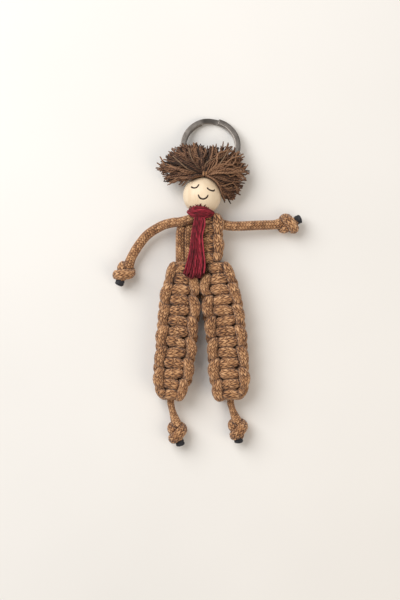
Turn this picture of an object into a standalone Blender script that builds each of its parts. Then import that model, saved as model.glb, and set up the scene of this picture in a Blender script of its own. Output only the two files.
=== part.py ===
"""Knotted cord doll on a key ring, lying on its back.

X runs to the viewer's right, Y from the feet to the ring, Z up towards the viewer.  Every length is in
metres.  The doll is drawn about a working origin near its middle, and the whole is moved at the end so
that the world origin is at the middle of its underside.
"""

import math

import bmesh
import bpy
import numpy as np
from mathutils import Matrix, Vector

# Clearances
GAP = 0.0003
CORD_GAP = 0.0004
OVERRUN = 0.004
CORD_SAG = 0.0002
WELD = 1e-7
TURNED_WELD = 1e-5

# Head bead, drilled along Y
BEAD_DIAMETER = 0.0200
BEAD_BORE = 0.0062
BEAD_RIM = 0.0004
BEAD_X = -0.0041
NECK_LENGTH = 0.0046

# Split ring of flattened wire, two turns
RING_DIAMETER = 0.0314
RING_BAND = 0.0028
RING_LAYER = 0.0012
RING_LAYER_GAP = 0.00008
RING_STEP_ANGLE = math.radians(34.0)
RING_STEP_PLACE = math.radians(84.0)
RING_END_ANGLE = math.radians(3.0)
RING_ASIDE = 0.0044
RING_TURN_POINTS = 36

# Hanging loop and its knot, which sits in the mouth of the bead
LOOP_CORD = 0.0017
LOOP_KNOT = 0.0026
LOOP_KNOT_RISE = 0.0002

# Cords of the body
ARM_CORD = 0.0044
ANKLE_CORD = 0.0036
KNOT_CORD = 0.0026
SIDE_CORD = 0.0041
CORE_IN_BORE = 0.0021

# Square knots of the legs, for one half knot
PITCH = 0.0055
SENNIT_WIDTH = 0.0198
FILLER = 0.0032
BAR = 0.0045
BUMP = 0.0040
SIDE_RUN = 0.0028
SQUEEZED = 0.0021
BAR_LIFT = 0.0004
BAR_CROWN = 0.0002
SIDE_LIFT = 0.0001
LEG_HALF_KNOTS = 13
LEG_LAST_RUN_SHARE = 0.35
FILLER_POINTS = 10
LEG_HEAD = 0.0031
LEG_FOOT = 0.0028
FLAT_DEPTH = 0.00045

# Torso, the same knots pulled tighter
TORSO_TIGHTNESS_SHARE = 0.82
TORSO_HALF_KNOTS = 5
TORSO_LAST_RUN_SHARE = 0.2
TORSO_X = -0.0008
TORSO_TOP = 0.0314
TORSO_RISE = 0.0072
CORE_TAIL = 0.0020
CORE_TAPER_SHARE = 1 / 3
NECK_LEAN = 0.0004
SIDE_TURN_SHARE = 0.9
SIDE_BEND_SHARE = 0.4
SIDE_LEAN_SHARE = 0.35

# Shares of a half knot's own sizes, along the leg, across it and through it
START_DIP_SHARE = 0.207
BAR_SLANT_SHARE = 0.058
DIVE_SHARE = 0.268
BUMP_END_SHARE = 0.136
SQUEEZE_ACROSS_SHARE = 0.736
SQUEEZE_DEEP_SHARE = 0.09
FRONT_BAR_SHARE = 0.525
BACK_BAR_SHARE = 0.55
BUMP_END_ACROSS_SHARE = 0.933
BUMP_ACROSS_SHARE = 0.83
BUMP_DEEP_SHARE = 1.188
FRONT_SLIM_SHARE = 0.97
BACK_SLIM_SHARE = 0.95

# Legs: the middle between them at the top, then each leg's lean from the vertical and its bow
HIP_Y = 0.0110
LEGS_X = -0.00555
LEGS_APART = 0.0005
LEFT_LEG_LEAN = 0.0050
RIGHT_LEG_LEAN = -0.0062
LEFT_LEG_BOW = 0.0009
RIGHT_LEG_BOW = 0.0006

# Overhand knots of hands and feet
KNOT_TURN = math.radians(62.0)
KNOT_POINTS = 30
KNOT_TAKE_UP = 10.6
KNOT_STRETCH_SHARE = 1.3
KNOT_REACH_SHARE = 1.7
KNOT_SLACK_SHARE = 1.4
KNOT_APART_SHARE = 2.2

# Black sealed tips
TIP_DIAMETER = 0.0046
TIP_LENGTH = 0.0037
TIP_DEPTH = 0.0018
TIP_ROUND = 0.0007

# Arm routes from the shoulder to the wrist, as points on the cord's centre line
LEFT_SHOULDER = (-0.0166, 0.0322, 0.0080)
LEFT_ARM_ROUTE = [
    (-0.0190, 0.0321, 0.0080),
    (-0.0240, 0.0309, 0.0075),
    (-0.0287, 0.0286, 0.0068),
    (-0.0330, 0.0256, 0.0060),
    (-0.0364, 0.0217, 0.0056),
    (-0.0392, 0.0176, 0.0054),
    (-0.0416, 0.0131, 0.0053),
]
LEFT_HAND = (-0.0449, 0.0061)
RIGHT_SHOULDER_Y = 0.0303
RIGHT_SHOULDER_RISE = 0.0085
RIGHT_ARM_ROUTE = [
    (0.0130, 0.0301, 0.0083),
    (0.0190, 0.0303, 0.0076),
    (0.0250, 0.0306, 0.0068),
    (0.0300, 0.0308, 0.0061),
    (0.0340, 0.0310, 0.0056),
]
RIGHT_HAND = (0.0408, 0.0315)

# Feet
LEFT_FOOT = (-0.0172, -0.0779)
RIGHT_FOOT = (0.0148, -0.0762)
ANKLE_RISE = 0.0058
KNEE_SHARE = 0.3

# Hair: two fans of cut yarn, tied together in the middle
HAIR_FORWARD = 0.0063
HAIR_ABOVE_BEAD = 0.0028
HAIR_CORE = (0.0036, 0.0025, 0.0022)
HAIR_CORE_ASIDE = 0.0044
HAIR_DROP = 0.0036
HAIR_TIE = 0.0010
HAIR_TIE_ACROSS = 0.0020
LEFT_FAN = (96.0, 190.0)
RIGHT_FAN = (84.0, -44.0)
LEFT_FAN_LENGTHS = [0.0150, 0.0158, 0.0172, 0.0180, 0.0178, 0.0190, 0.0205, 0.0215]
RIGHT_FAN_LENGTHS = [0.0140, 0.0152, 0.0172, 0.0200, 0.0215, 0.0222, 0.0224, 0.0218]
FAN_LOCKS = 8
LOCK_ROOT = 0.0022
LOCK_SPREAD_SHARE = 0.44
LOCK_SHARES = (0, 0.45, 0.93, 1)
LOCK_TIP_SHARE = 0.45
LOCK_LAYER = 0.0017
HAIR_SHORTER_SHARE = 0.86

# Scarf: a band round the neck and a hanging tail
SCARF_ASIDE = 0.0007
BAND_FRONT_AWAY = 0.00213
BAND_SIDE_AWAY = 0.00215
BAND_BACK_AWAY = 0.0020
BAND_FRONT_ANGLE = math.radians(40.65)
BAND_SIDE_ANGLE = math.radians(32.9)
BAND_BACK_ANGLE = math.radians(30.0)
BAND_FRONT_HEIGHT = 0.0064
BAND_SIDE_HEIGHT = 0.0028
BAND_THICKNESS = 0.0026
BAND_SIDE_THICKNESS = 0.0021
BAND_TILT = math.radians(33.0)
BAND_RIB_SHARE = 0.12
TAIL_LENGTH = 0.0292
TAIL_THICKNESS = 0.0036
TAIL_TOP_THICKNESS = 0.0020
TAIL_THICKEN_SHARE = 0.3
TAIL_ASIDE = -0.0008
TAIL_TOP_WIDTH = 0.0062
TAIL_WAIST_WIDTH = 0.0072
TAIL_END_WIDTH = 0.0116
TAIL_DRIFT = 0.0022
TAIL_FORWARD = 0.00034
TAIL_BELOW_BAND = 0.00092
TAIL_RIBS = 7
TAIL_RIB = 0.0004

# Materials: colour, roughness and metallic value
CORD_COLOUR = (0.42, 0.24, 0.11)
FINISHES = {
    "tan_cord": (CORD_COLOUR, 0.95, 0.0),
    "pale_wood": ((0.86, 0.70, 0.48), 0.45, 0.0),
    "dark_yarn": ((0.10, 0.055, 0.035), 0.95, 0.0),
    "burgundy_yarn": ((0.22, 0.012, 0.035), 0.9, 0.0),
    "steel": ((0.52, 0.50, 0.48), 0.3, 1.0),
    "black_seal": ((0.012, 0.014, 0.02), 0.5, 0.0),
}


def clear_scene():
    for item in list(bpy.data.objects):
        bpy.data.objects.remove(item, do_unlink=True)


def new_collection(name):
    collection = bpy.data.collections.new(name)
    bpy.context.scene.collection.children.link(collection)
    return collection


def finish(name):
    """The material of that name, made once."""
    material = bpy.data.materials.get(name)
    if material is None:
        colour, roughness, metallic = FINISHES[name]
        material = bpy.data.materials.new(name)
        material.use_nodes = True
        shader = material.node_tree.nodes["Principled BSDF"]
        shader.inputs["Base Color"].default_value = (*colour, 1)
        shader.inputs["Roughness"].default_value = roughness
        shader.inputs["Metallic"].default_value = metallic
    return material


def add_body(name, place, parent=None):
    """An empty on a body's joint axis, which carries the body's pieces."""
    empty = bpy.data.objects.new(name, None)
    empty.location = place
    DOLL.objects.link(empty)
    if parent:
        empty.parent = parent
        empty.location = Vector(place) - world_place(parent)
    return empty


def world_place(item):
    """Where an empty stands, added up through its parents."""
    place = Vector(item.location)
    while item.parent:
        item = item.parent
        place += item.location
    return place


def add_piece(name, data, body, material):
    """A named piece whose data is drawn in the working frame, carried by a body."""
    item = bpy.data.objects.new(name, data)
    item.parent = body
    item.location = -world_place(body)
    DOLL.objects.link(item)
    data.materials.clear()
    data.materials.append(finish(material))
    return item


def tube_curve(name, points, sides_level=1):
    """A curve with filled caps through rows of x, y, z and radius."""
    curve = bpy.data.curves.new(name, "CURVE")
    curve.dimensions = "3D"
    curve.twist_mode = "MINIMUM"
    thickest = max(row[3] for row in points)
    curve.bevel_depth = thickest
    curve.bevel_resolution = sides_level
    curve.use_fill_caps = True
    spline = curve.splines.new("POLY")
    spline.points.add(len(points) - 1)
    for point, row in zip(spline.points, points):
        point.co = (row[0], row[1], row[2], 1)
        point.radius = row[3] / thickest
    return curve


def closed_mesh(data):
    """The mesh of a curve or of a mesh with modifiers, with its caps welded."""
    helper = bpy.data.objects.new("helper", data)
    GUIDES.objects.link(helper)
    graph = bpy.context.evaluated_depsgraph_get()
    mesh = bpy.data.meshes.new_from_object(helper.evaluated_get(graph))
    bpy.data.objects.remove(helper)
    shape = bmesh.new()
    shape.from_mesh(mesh)
    bmesh.ops.remove_doubles(shape, verts=shape.verts, dist=WELD)
    bmesh.ops.recalc_face_normals(shape, faces=shape.faces)
    shape.to_mesh(mesh)
    shape.free()
    return mesh


def add_guide(name, data):
    """A cutter or guide, shown as wire and left out of the doll."""
    item = bpy.data.objects.new(name, data)
    item.hide_render = True
    item.display_type = "WIRE"
    GUIDES.objects.link(item)
    return item


def boolean(item, other, operation):
    modifier = item.modifiers.new(operation.lower(), "BOOLEAN")
    modifier.operation = operation
    modifier.solver = "EXACT"
    modifier.object = other


def smooth_path(points, steps):
    """A Catmull-Rom curve through rows of numbers, with that many steps between neighbours."""
    rows = np.array(points, float)
    rows = np.vstack([2 * rows[0] - rows[1], rows, 2 * rows[-1] - rows[-2]])
    share = (np.arange(steps) / steps)[:, None]
    spans = []
    for before, start, end, after in zip(rows, rows[1:], rows[2:], rows[3:]):
        spans.append(
            0.5 * (2 * start + (end - before) * share
                   + (2 * before - 5 * start + 4 * end - after) * share ** 2
                   + (3 * start - before - 3 * end + after) * share ** 3)
        )
    return np.vstack(spans + [rows[-2:-1]])


def thinned(points):
    """Drops points that lie on the line between their neighbours, and never two in a row."""
    keep = np.ones(len(points), bool)
    for place in range(1, len(points) - 1):
        chord = points[place + 1, :3] - points[place - 1, :3]
        across = np.cross(points[place, :3] - points[place - 1, :3], chord)
        off = np.linalg.norm(across) / np.linalg.norm(chord)
        keep[place] = off > CORD_SAG or not keep[place - 1]
    return points[keep]


def round_start(points):
    """Puts a round end before the first point, centred on it."""
    first = np.array(points[0], float)
    outward = first[:3] - np.array(points[1], float)[:3]
    outward /= np.linalg.norm(outward)
    cap = []
    for angle in np.radians([78.0, 56.0, 32.0]):
        centre = first[:3] + outward * first[3] * math.sin(angle)
        cap.append([*centre, first[3] * math.cos(angle)])
    return np.vstack([cap, points])


def round_end(points):
    return round_start(points[::-1])[::-1]


def measured_gap(one, other=None, apart=0.0):
    """Least gap between two tubes' surfaces, or of one to itself where its centre line is further along."""
    two = one if other is None else other
    away = np.linalg.norm(one[:, None, :3] - two[None, :, :3], axis=2) - one[:, None, 3] - two[None, :, 3]
    if other is None:
        along = np.r_[0, np.cumsum(np.linalg.norm(np.diff(one[:, :3], axis=0), axis=1))]
        away[np.abs(along[:, None] - along[None]) < apart] = np.inf
    return away.min()


class SquareKnots:
    """A chain of square knots: two filler cords, a front cord and a back cord tied round them.

    The front cord lies across the front in every half knot, left to right and back again, and turns down
    the outer edge between two bars.  The back cord lies across the back the other way.  It comes out above
    the start of a front bar, between the front cord's edge and the fillers, passes over that bar and the
    next, and dives again below it.  Points are across, along and deep, with the cord's radius, which is
    least where the cords squeeze past each other.
    """

    def __init__(self, half_knots, tightness, first_side, last_run_share):
        self.half_knots = half_knots
        self.last_run = last_run_share * PITCH * tightness
        self.first_side = first_side
        self.pitch = PITCH * tightness
        self.filler = FILLER * tightness / 2
        self.bar = BAR * tightness / 2
        self.bump = BUMP * tightness / 2
        self.run = SIDE_RUN * tightness / 2
        self.squeezed = SQUEEZED * tightness / 2
        self.filler_across = self.filler + CORD_GAP * tightness / 2
        self.width = SENNIT_WIDTH * tightness
        self.edge = self.width / 2 - self.run
        self.inside = self.filler_across + self.filler + (CORD_GAP + SIDE_LIFT) * tightness + self.squeezed
        self.deep = self.filler + (CORD_GAP + BAR_LIFT) * tightness + self.bar
        self.crown = BAR_CROWN * tightness
        self.length = self.pitch * (half_knots - 1)

    def sides(self):
        return [self.first_side * (-1) ** knot for knot in range(self.half_knots)]

    def front_cord(self):
        dip = START_DIP_SHARE * self.pitch
        slant = BAR_SLANT_SHARE * self.pitch
        squeeze_across = SQUEEZE_ACROSS_SHARE * self.edge
        squeeze_deep = SQUEEZE_DEEP_SHARE * self.deep
        bar_across = FRONT_BAR_SHARE * self.inside
        slimmer = FRONT_SLIM_SHARE * self.bar
        first = self.sides()[0]
        rows = [(-first * self.edge, -self.pitch / 2, 0, self.run)]
        for knot, side in enumerate(self.sides()):
            down = knot * self.pitch
            rows += [
                (-side * squeeze_across, down + dip, squeeze_deep, self.squeezed),
                (-side * bar_across, down + slant, self.deep, slimmer),
                (0, down, self.deep + self.crown, self.bar),
                (side * bar_across, down - slant, self.deep, slimmer),
                (side * squeeze_across, down - dip, squeeze_deep, self.squeezed),
                (side * self.edge, down + self.pitch / 2, 0, self.run),
            ]
        rows[-1] = (side * self.edge, down + self.last_run, 0, self.run)
        return thinned(smooth_path(rows, 2))

    def back_cord(self):
        dive = DIVE_SHARE * self.pitch
        slant = BAR_SLANT_SHARE * self.pitch
        bar_across = BACK_BAR_SHARE * self.edge
        end_across = BUMP_END_ACROSS_SHARE * self.edge
        end_deep = BUMP_DEEP_SHARE * self.deep
        end_along = BUMP_END_SHARE * self.pitch
        bump_across = BUMP_ACROSS_SHARE * self.edge
        slimmer = BACK_SLIM_SHARE * self.bar
        end_radius = (self.bump + self.squeezed) / 2
        rows = []
        for knot, side in enumerate(self.sides()):
            down = knot * self.pitch
            rows += [
                (side * self.inside, down + dive, 0, self.squeezed),
                (side * bar_across, down + slant, -self.deep, slimmer),
                (0, down, -self.deep, self.bar),
                (-side * bar_across, down - slant, -self.deep, slimmer),
                (-side * self.inside, down - dive, 0, self.squeezed),
                (-side * end_across, down - end_along, end_deep, end_radius),
                (-side * bump_across, down + self.pitch / 2, end_deep, self.bump),
                (-side * end_across, down + self.pitch + end_along, end_deep, end_radius),
            ]
        rows[-2] = (-side * bump_across, down + self.last_run, end_deep, self.bump)
        return thinned(smooth_path(rows[:-1], 2))

    def filler_cord(self, side, before, after):
        steps = np.linspace(-before, self.length + after, FILLER_POINTS)
        return np.array([(side * self.filler_across, step, 0, self.filler) for step in steps])


def leg_place(points, hip, lean, bow, length, rise):
    """Takes across, along and deep to the working frame, on a leg that leans and bows."""
    rows = np.array(points, float)
    share = rows[:, 1] / length
    slope = math.atan2(lean, length)
    middle_x = hip[0] - lean * share + bow * 4 * share * (1 - share)
    x = middle_x + rows[:, 0] * math.cos(slope)
    y = hip[1] - rows[:, 1] - rows[:, 0] * math.sin(slope)
    return np.column_stack([x, y, rise + rows[:, 2], rows[:, 3]])


def tie_overhand(diameter):
    """The centre line of an overhand knot along Z, pulled tight about itself.

    It is worked out for a cord of diameter one and scaled at the end.  It starts as the open trefoil
    x = t^3 - 3t, y = t^4 - 4t^2, z = t^5 - 10t.  The ends are then drawn apart in small steps, while the
    line keeps its length and strands that come nearer than one diameter push each other away.
    """
    count = 72
    turn = np.linspace(-2.16, 2.16, 400)
    line = np.column_stack([turn ** 3 - 3 * turn, turn ** 4 - 4 * turn ** 2, 0.12 * (turn ** 5 - 10 * turn)])
    line *= 1.1
    along = np.r_[0, np.cumsum(np.linalg.norm(np.diff(line, axis=0), axis=1))]
    even = np.linspace(0, along[-1], count)
    line = np.column_stack([np.interp(even, along, line[:, axis]) for axis in range(3)])
    rest = along[-1] / (count - 1)
    apart = int(math.ceil(1.9 / rest))
    first, second = np.triu_indices(count, apart)
    loose_reach = line[-1, 2]
    tight_reach = (along[-1] - KNOT_TAKE_UP) / 2
    for step in range(1400):
        reach = loose_reach + (tight_reach - loose_reach) * min(step / 1000, 1)
        line[1:-1] += 0.1 * (line[:-2] + line[2:] - 2 * line[1:-1])
        for _ in range(8):
            line[0] = (0, 0, -reach)
            line[-1] = (0, 0, reach)
            for start in (0, 1):
                ahead = line[start + 1::2]
                behind = line[start:-1:2][:len(ahead)]
                span = ahead - behind
                size = np.linalg.norm(span, axis=1, keepdims=True)
                move = 0.5 * (size - rest) / size * span
                line[start:-1:2][:len(ahead)] += move
                line[start + 1::2] -= move
        away = line[second] - line[first]
        size = np.linalg.norm(away, axis=1)
        near = size < 1.0
        push = (0.5 * (1.0 - size[near]) / size[near])[:, None] * away[near]
        shift = np.zeros_like(line)
        np.add.at(shift, second[near], push)
        np.add.at(shift, first[near], -push)
        line += 0.6 * shift
    line -= line.mean(axis=0) * (0, 0, 1)
    return line * diameter


def knotted_cord(route, radius, middle, tail):
    """A cord that follows a route, ties an overhand knot about a middle and runs on to its tail."""
    middle = np.array(middle)
    onward = middle - np.array(route[-1])
    onward /= np.linalg.norm(onward)
    side = np.cross(onward, (0, 0, 1))
    side /= np.linalg.norm(side)
    up = np.cross(side, onward)
    spin = math.cos(KNOT_TURN) * KNOT_LINE[:, 0] - math.sin(KNOT_TURN) * KNOT_LINE[:, 1]
    over = math.sin(KNOT_TURN) * KNOT_LINE[:, 0] + math.cos(KNOT_TURN) * KNOT_LINE[:, 1]
    knot = middle + spin[:, None] * side + over[:, None] * up + KNOT_LINE[:, 2:] * onward
    head = np.array([(*point, radius) for point in route])
    tied = np.column_stack([knot, np.full(len(knot), KNOT_CORD / 2)])
    end = np.array([(*point, KNOT_CORD / 2) for point in tail])
    return np.vstack([head, tied, end])


def tightened_knot():
    """The overhand knot's middle stretch, thinned out to an even number of points."""
    line = tie_overhand(KNOT_CORD + KNOT_SLACK_SHARE * CORD_GAP)
    line[:, 2] *= KNOT_STRETCH_SHARE
    reach = KNOT_REACH_SHARE * KNOT_CORD
    inside = np.abs(line[:, 2]) < reach
    first = np.argmax(inside)
    last = len(line) - np.argmax(inside[::-1])
    line = line[first:last]
    line = line - (line.max(axis=0) + line.min(axis=0)) / 2 * (1, 1, 0)
    picks = np.linspace(0, len(line) - 1, KNOT_POINTS)
    return np.column_stack([np.interp(picks, np.arange(len(line)), line[:, axis]) for axis in range(3)])


def add_cord(name, points, body, material="tan_cord"):
    return add_piece(name, tube_curve(name, points), body, material)


def turned_mesh(name, profile, steps):
    """A profile of radius and height turned about Z, top to bottom down its outer side."""
    mesh = bpy.data.meshes.new(name)
    rows = [(radius, 0, height) for radius, height in profile]
    mesh.from_pydata(rows, [(row, (row + 1) % len(rows)) for row in range(len(rows))], [])
    helper = bpy.data.objects.new("turned", mesh)
    screw = helper.modifiers.new("turn", "SCREW")
    screw.steps = steps
    screw.render_steps = steps
    screw.use_merge_vertices = True
    screw.merge_threshold = TURNED_WELD
    GUIDES.objects.link(helper)
    graph = bpy.context.evaluated_depsgraph_get()
    turned = bpy.data.meshes.new_from_object(helper.evaluated_get(graph))
    bpy.data.objects.remove(helper)
    return turned


def make_bead(body):
    """A round bead with a bore along Y whose two mouths are eased."""
    radius = BEAD_DIAMETER / 2
    bore = BEAD_BORE / 2
    rim = bore + BEAD_RIM
    mouth = math.asin(rim / radius)
    profile = []
    for angle in np.linspace(mouth, math.pi - mouth, 14):
        profile.append((radius * math.sin(angle), radius * math.cos(angle)))
    wall = math.sqrt(radius ** 2 - rim ** 2) - BEAD_RIM
    profile += [(bore, -wall), (bore, wall)]
    mesh = turned_mesh("head_bead", profile, 32)
    mesh.transform(Matrix.Translation(BEAD) @ Matrix.Rotation(-math.pi / 2, 4, "X"))
    mesh.shade_smooth()
    mesh.set_sharp_from_angle(angle=math.radians(35))
    add_piece("head_bead", mesh, body, "pale_wood")


def make_ring(body):
    """Flattened wire in two turns, which steps from the lower turn to the upper one near the top."""
    turn_radius = (RING_DIAMETER - RING_BAND) / 2
    layer = (RING_LAYER + RING_LAYER_GAP) / 2
    count = 2 * RING_TURN_POINTS
    ends = RING_STEP_ANGLE + RING_END_ANGLE
    angles = np.linspace(0, 4 * math.pi - ends, count)
    outline = bpy.data.curves.new("wire_section", "CURVE")
    outline.dimensions = "2D"
    section = outline.splines.new("POLY")
    half_band = RING_BAND / 2
    half_layer = RING_LAYER / 2
    corner = half_layer / 2
    corners = [
        (half_band, half_layer - corner), (half_band - corner, half_layer),
        (corner - half_band, half_layer), (-half_band, half_layer - corner),
        (-half_band, corner - half_layer), (corner - half_band, -half_layer),
        (half_band - corner, -half_layer), (half_band, corner - half_layer),
    ]
    section.points.add(len(corners) - 1)
    for point, corner_place in zip(section.points, corners):
        point.co = (*corner_place, 0, 1)
    section.use_cyclic_u = True
    guide = add_guide("wire_section", outline)
    wire = bpy.data.curves.new("key_ring", "CURVE")
    wire.dimensions = "3D"
    wire.twist_mode = "Z_UP"
    wire.bevel_mode = "OBJECT"
    wire.bevel_object = guide
    wire.use_fill_caps = True
    spline = wire.splines.new("POLY")
    spline.points.add(count - 1)
    for point, angle in zip(spline.points, angles):
        climb = (angle - 2 * math.pi + RING_STEP_ANGLE) / RING_STEP_ANGLE
        climb = min(max(climb, 0), 1)
        climb = climb * climb * (3 - 2 * climb)
        place = angle + RING_STEP_PLACE
        height = -layer + 2 * layer * climb
        point.co = (turn_radius * math.cos(place), turn_radius * math.sin(place), height, 1)
    mesh = closed_mesh(wire)
    mesh.transform(Matrix.Translation(RING_CENTRE) @ Matrix.Rotation(RING_TILT, 4, "X"))
    add_piece("key_ring", mesh, body, "steel")


def make_loop(body):
    """A closed eye of thin cord round the ring's wire, on a small knot."""
    bpy.ops.mesh.primitive_torus_add(
        major_radius=LOOP_EYE, minor_radius=LOOP_CORD / 2, major_segments=22, minor_segments=6,
        location=(0, 0, 0), rotation=(0, 0, 0))
    eye = bpy.context.object
    mesh = eye.data
    mesh.transform(Matrix.Translation(WIRE_PLACE) @ Matrix.Rotation(math.pi / 2, 4, "Y"))
    bpy.data.objects.remove(eye)
    ball = bmesh.new()
    bmesh.ops.create_uvsphere(ball, u_segments=12, v_segments=8, radius=LOOP_KNOT / 2)
    ball_mesh = bpy.data.meshes.new("loop_knot")
    ball.to_mesh(ball_mesh)
    ball.free()
    ball_mesh.transform(Matrix.Translation(LOOP_PIVOT))
    knot = add_guide("loop_knot", ball_mesh)
    loop = add_piece("hanging_loop", mesh, body, "tan_cord")
    boolean(loop, knot, "UNION")


def make_hair(name, fan, lengths, side, body):
    """A fan of locks that widen outwards, in two layers, joined at a core beside the tie."""
    root = HAIR_KNOT + Vector((side * HAIR_CORE_ASIDE, 0, 0))
    first, last = math.radians(fan[0]), math.radians(fan[1])
    pace = abs(last - first) / (FAN_LOCKS - 0.5)
    shape = bmesh.new()
    for layer in range(2):
        for lock in range(FAN_LOCKS):
            share = (lock + 0.5 * layer) / (FAN_LOCKS - 0.5)
            angle = first + (last - first) * share
            reach = np.interp(share * (len(lengths) - 1), range(len(lengths)), lengths)
            reach *= 1 if layer else HAIR_SHORTER_SHARE
            lift = LOCK_LAYER * (0.5 - layer)
            points = []
            for part in LOCK_SHARES:
                out = LOCK_ROOT + (reach - LOCK_ROOT) * part
                width = LOCK_SPREAD_SHARE * out * pace * (1 if part < 1 else LOCK_TIP_SHARE)
                rise = lift * (1 + part) - HAIR_DROP * part ** 1.5
                place = root + Vector((out * math.cos(angle), out * math.sin(angle), rise))
                points.append((*place, min(width, LOCK_LAYER * (1 + part) / 2 - GAP / 2)))
            shape.from_mesh(closed_mesh(tube_curve("lock", points, 0)))
    locks = bpy.data.meshes.new("locks")
    shape.to_mesh(locks)
    shape.free()
    core = bmesh.new()
    bmesh.ops.create_uvsphere(core, u_segments=14, v_segments=8, radius=1)
    core_mesh = bpy.data.meshes.new(name)
    core.to_mesh(core_mesh)
    core.free()
    core_mesh.transform(Matrix.Translation(root) @ Matrix.Diagonal((*HAIR_CORE, 1)))
    guide = add_guide(name + "_locks", locks)
    half = add_piece(name, core_mesh, body, "dark_yarn")
    boolean(half, guide, "UNION")


def make_hair_tie(body):
    """The thread round the waist between the two fans."""
    bpy.ops.mesh.primitive_torus_add(
        major_radius=HAIR_TIE_ACROSS / 2 + HAIR_TIE / 2, minor_radius=HAIR_TIE / 2, major_segments=14,
        minor_segments=6, location=(0, 0, 0), rotation=(0, 0, 0))
    thread = bpy.context.object
    mesh = thread.data
    mesh.transform(Matrix.Translation(HAIR_KNOT) @ Matrix.Rotation(math.pi / 2, 4, "Y"))
    bpy.data.objects.remove(thread)
    add_piece("hair_tie", mesh, body, "dark_yarn")


def ring_of_sections(name, sections, closed):
    """A mesh skin over equal rows of section points, with its two ends joined or capped."""
    rows, around = sections.shape[:2]
    mesh = bpy.data.meshes.new(name)
    faces = []
    for row in range(rows if closed else rows - 1):
        for point in range(around):
            after = (row + 1) % rows
            side = (point + 1) % around
            faces.append((row * around + point, row * around + side, after * around + side,
                          after * around + point))
    if not closed:
        faces.append(tuple(range(around))[::-1])
        faces.append(tuple((rows - 1) * around + point for point in range(around)))
    mesh.from_pydata(sections.reshape(-1, 3).tolist(), [], faces)
    shape = bmesh.new()
    shape.from_mesh(mesh)
    bmesh.ops.recalc_face_normals(shape, faces=shape.faces)
    shape.to_mesh(mesh)
    shape.free()
    return mesh


def band_place(away, angle):
    """How far below the bead's middle and how far out from its bore a part of the scarf's band runs."""
    reach = BEAD_DIAMETER / 2 + away
    return reach * math.cos(angle), reach * math.sin(angle)


def make_scarf_band(body):
    """A soft band of yarn round the neck, deepest in front, where it laps over the bead's lower side.

    Its middle line keeps off the bead's surface, at an angle from the bore that is largest in front.
    """
    around = 24
    sections = []
    for angle in np.linspace(0, 2 * math.pi, around, endpoint=False):
        front = max(math.sin(angle), 0)
        back = max(-math.sin(angle), 0)
        side_below, side_out = band_place(BAND_SIDE_AWAY, BAND_SIDE_ANGLE)
        far_below, far_out = BAND_FRONT if front > 0 else BAND_BACK
        below = side_below + (far_below - side_below) * (front ** 1.5 + back)
        centre = Vector((SCARF_X + side_out * math.cos(angle), BEAD.y - below, 0))
        centre.z = BEAD.z + far_out * math.sin(angle)
        outward = Vector((math.cos(angle), 0, math.sin(angle)))
        tilt = BAND_TILT * front
        height = BAND_SIDE_HEIGHT + (BAND_FRONT_HEIGHT - BAND_SIDE_HEIGHT) * front ** 1.5
        thick = BAND_SIDE_THICKNESS + (BAND_THICKNESS - BAND_SIDE_THICKNESS) * front
        up = Vector((0, math.cos(tilt), 0)) + outward * math.sin(tilt)
        out = outward * math.cos(tilt) - Vector((0, math.sin(tilt), 0))
        ring = []
        for turn in np.linspace(0, 2 * math.pi, 12, endpoint=False):
            rib = 1 - BAND_RIB_SHARE * (1 - abs(math.cos(1.5 * turn))) * front
            along = up * (height / 2 * math.sin(turn))
            ring.append(centre + along + out * (thick / 2 * math.cos(turn) * rib))
        sections.append(ring)
    mesh = ring_of_sections("scarf_band", np.array(sections), True)
    mesh.shade_smooth()
    add_piece("scarf_band", mesh, body, "burgundy_yarn")


def make_scarf_tail(body):
    """A flat bundle of yarn ribs that narrows below the neck and flares to a ragged end."""
    around = 4 * TAIL_RIBS
    widths = [TAIL_TOP_WIDTH, TAIL_WAIST_WIDTH, TAIL_WAIST_WIDTH, TAIL_END_WIDTH]
    sections = []
    for share in np.linspace(0, 1, 9):
        width = np.interp(share * (len(widths) - 1), range(len(widths)), widths)
        thick = np.interp(share, (0, TAIL_THICKEN_SHARE), (TAIL_TOP_THICKNESS, TAIL_THICKNESS))
        ring = []
        for turn in np.linspace(0, 2 * math.pi, around, endpoint=False):
            across = math.cos(turn)
            flat = abs(math.sin(turn)) ** 0.6 * math.copysign(1, math.sin(turn))
            rib = TAIL_RIB * math.cos(TAIL_RIBS * math.pi * across) * abs(flat)
            x = SCARF_X + TAIL_ASIDE - TAIL_DRIFT * share + width / 2 * across
            deep = (thick / 2 - TAIL_RIB + rib) * flat
            ragged = 2 * TAIL_RIB * math.cos((TAIL_RIBS - 1) * math.pi * across) * (share == 1)
            ring.append((x, TAIL_TOP - TAIL_LENGTH * share + ragged, TAIL_RISE + deep))
        sections.append(ring)
    mesh = ring_of_sections("scarf_tail", np.array(sections), False)
    mesh.shade_smooth()
    add_piece("scarf_tail", mesh, body, "burgundy_yarn")


def make_tip(name, end, onward, body):
    """A sealed black cup pushed over the end of a cord."""
    outer = TIP_DIAMETER / 2
    inner = KNOT_CORD / 2 + GAP
    floor = TIP_LENGTH - TIP_DEPTH
    profile = [(0, TIP_LENGTH), (outer - TIP_ROUND, TIP_LENGTH), (outer, TIP_LENGTH - TIP_ROUND)]
    profile += [(outer, 0), (inner, 0), (inner, TIP_DEPTH), (0, TIP_DEPTH)]
    mesh = turned_mesh(name, profile, 16)
    turn = Vector((0, 0, 1)).rotation_difference(Vector(onward)).to_matrix().to_4x4()
    start = Vector(end) - Vector(onward) * (TIP_DEPTH - GAP)
    mesh.transform(Matrix.Translation(start) @ turn)
    mesh.shade_smooth()
    mesh.set_sharp_from_angle(angle=math.radians(40))
    add_piece(name, mesh, body, "black_seal")


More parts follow.
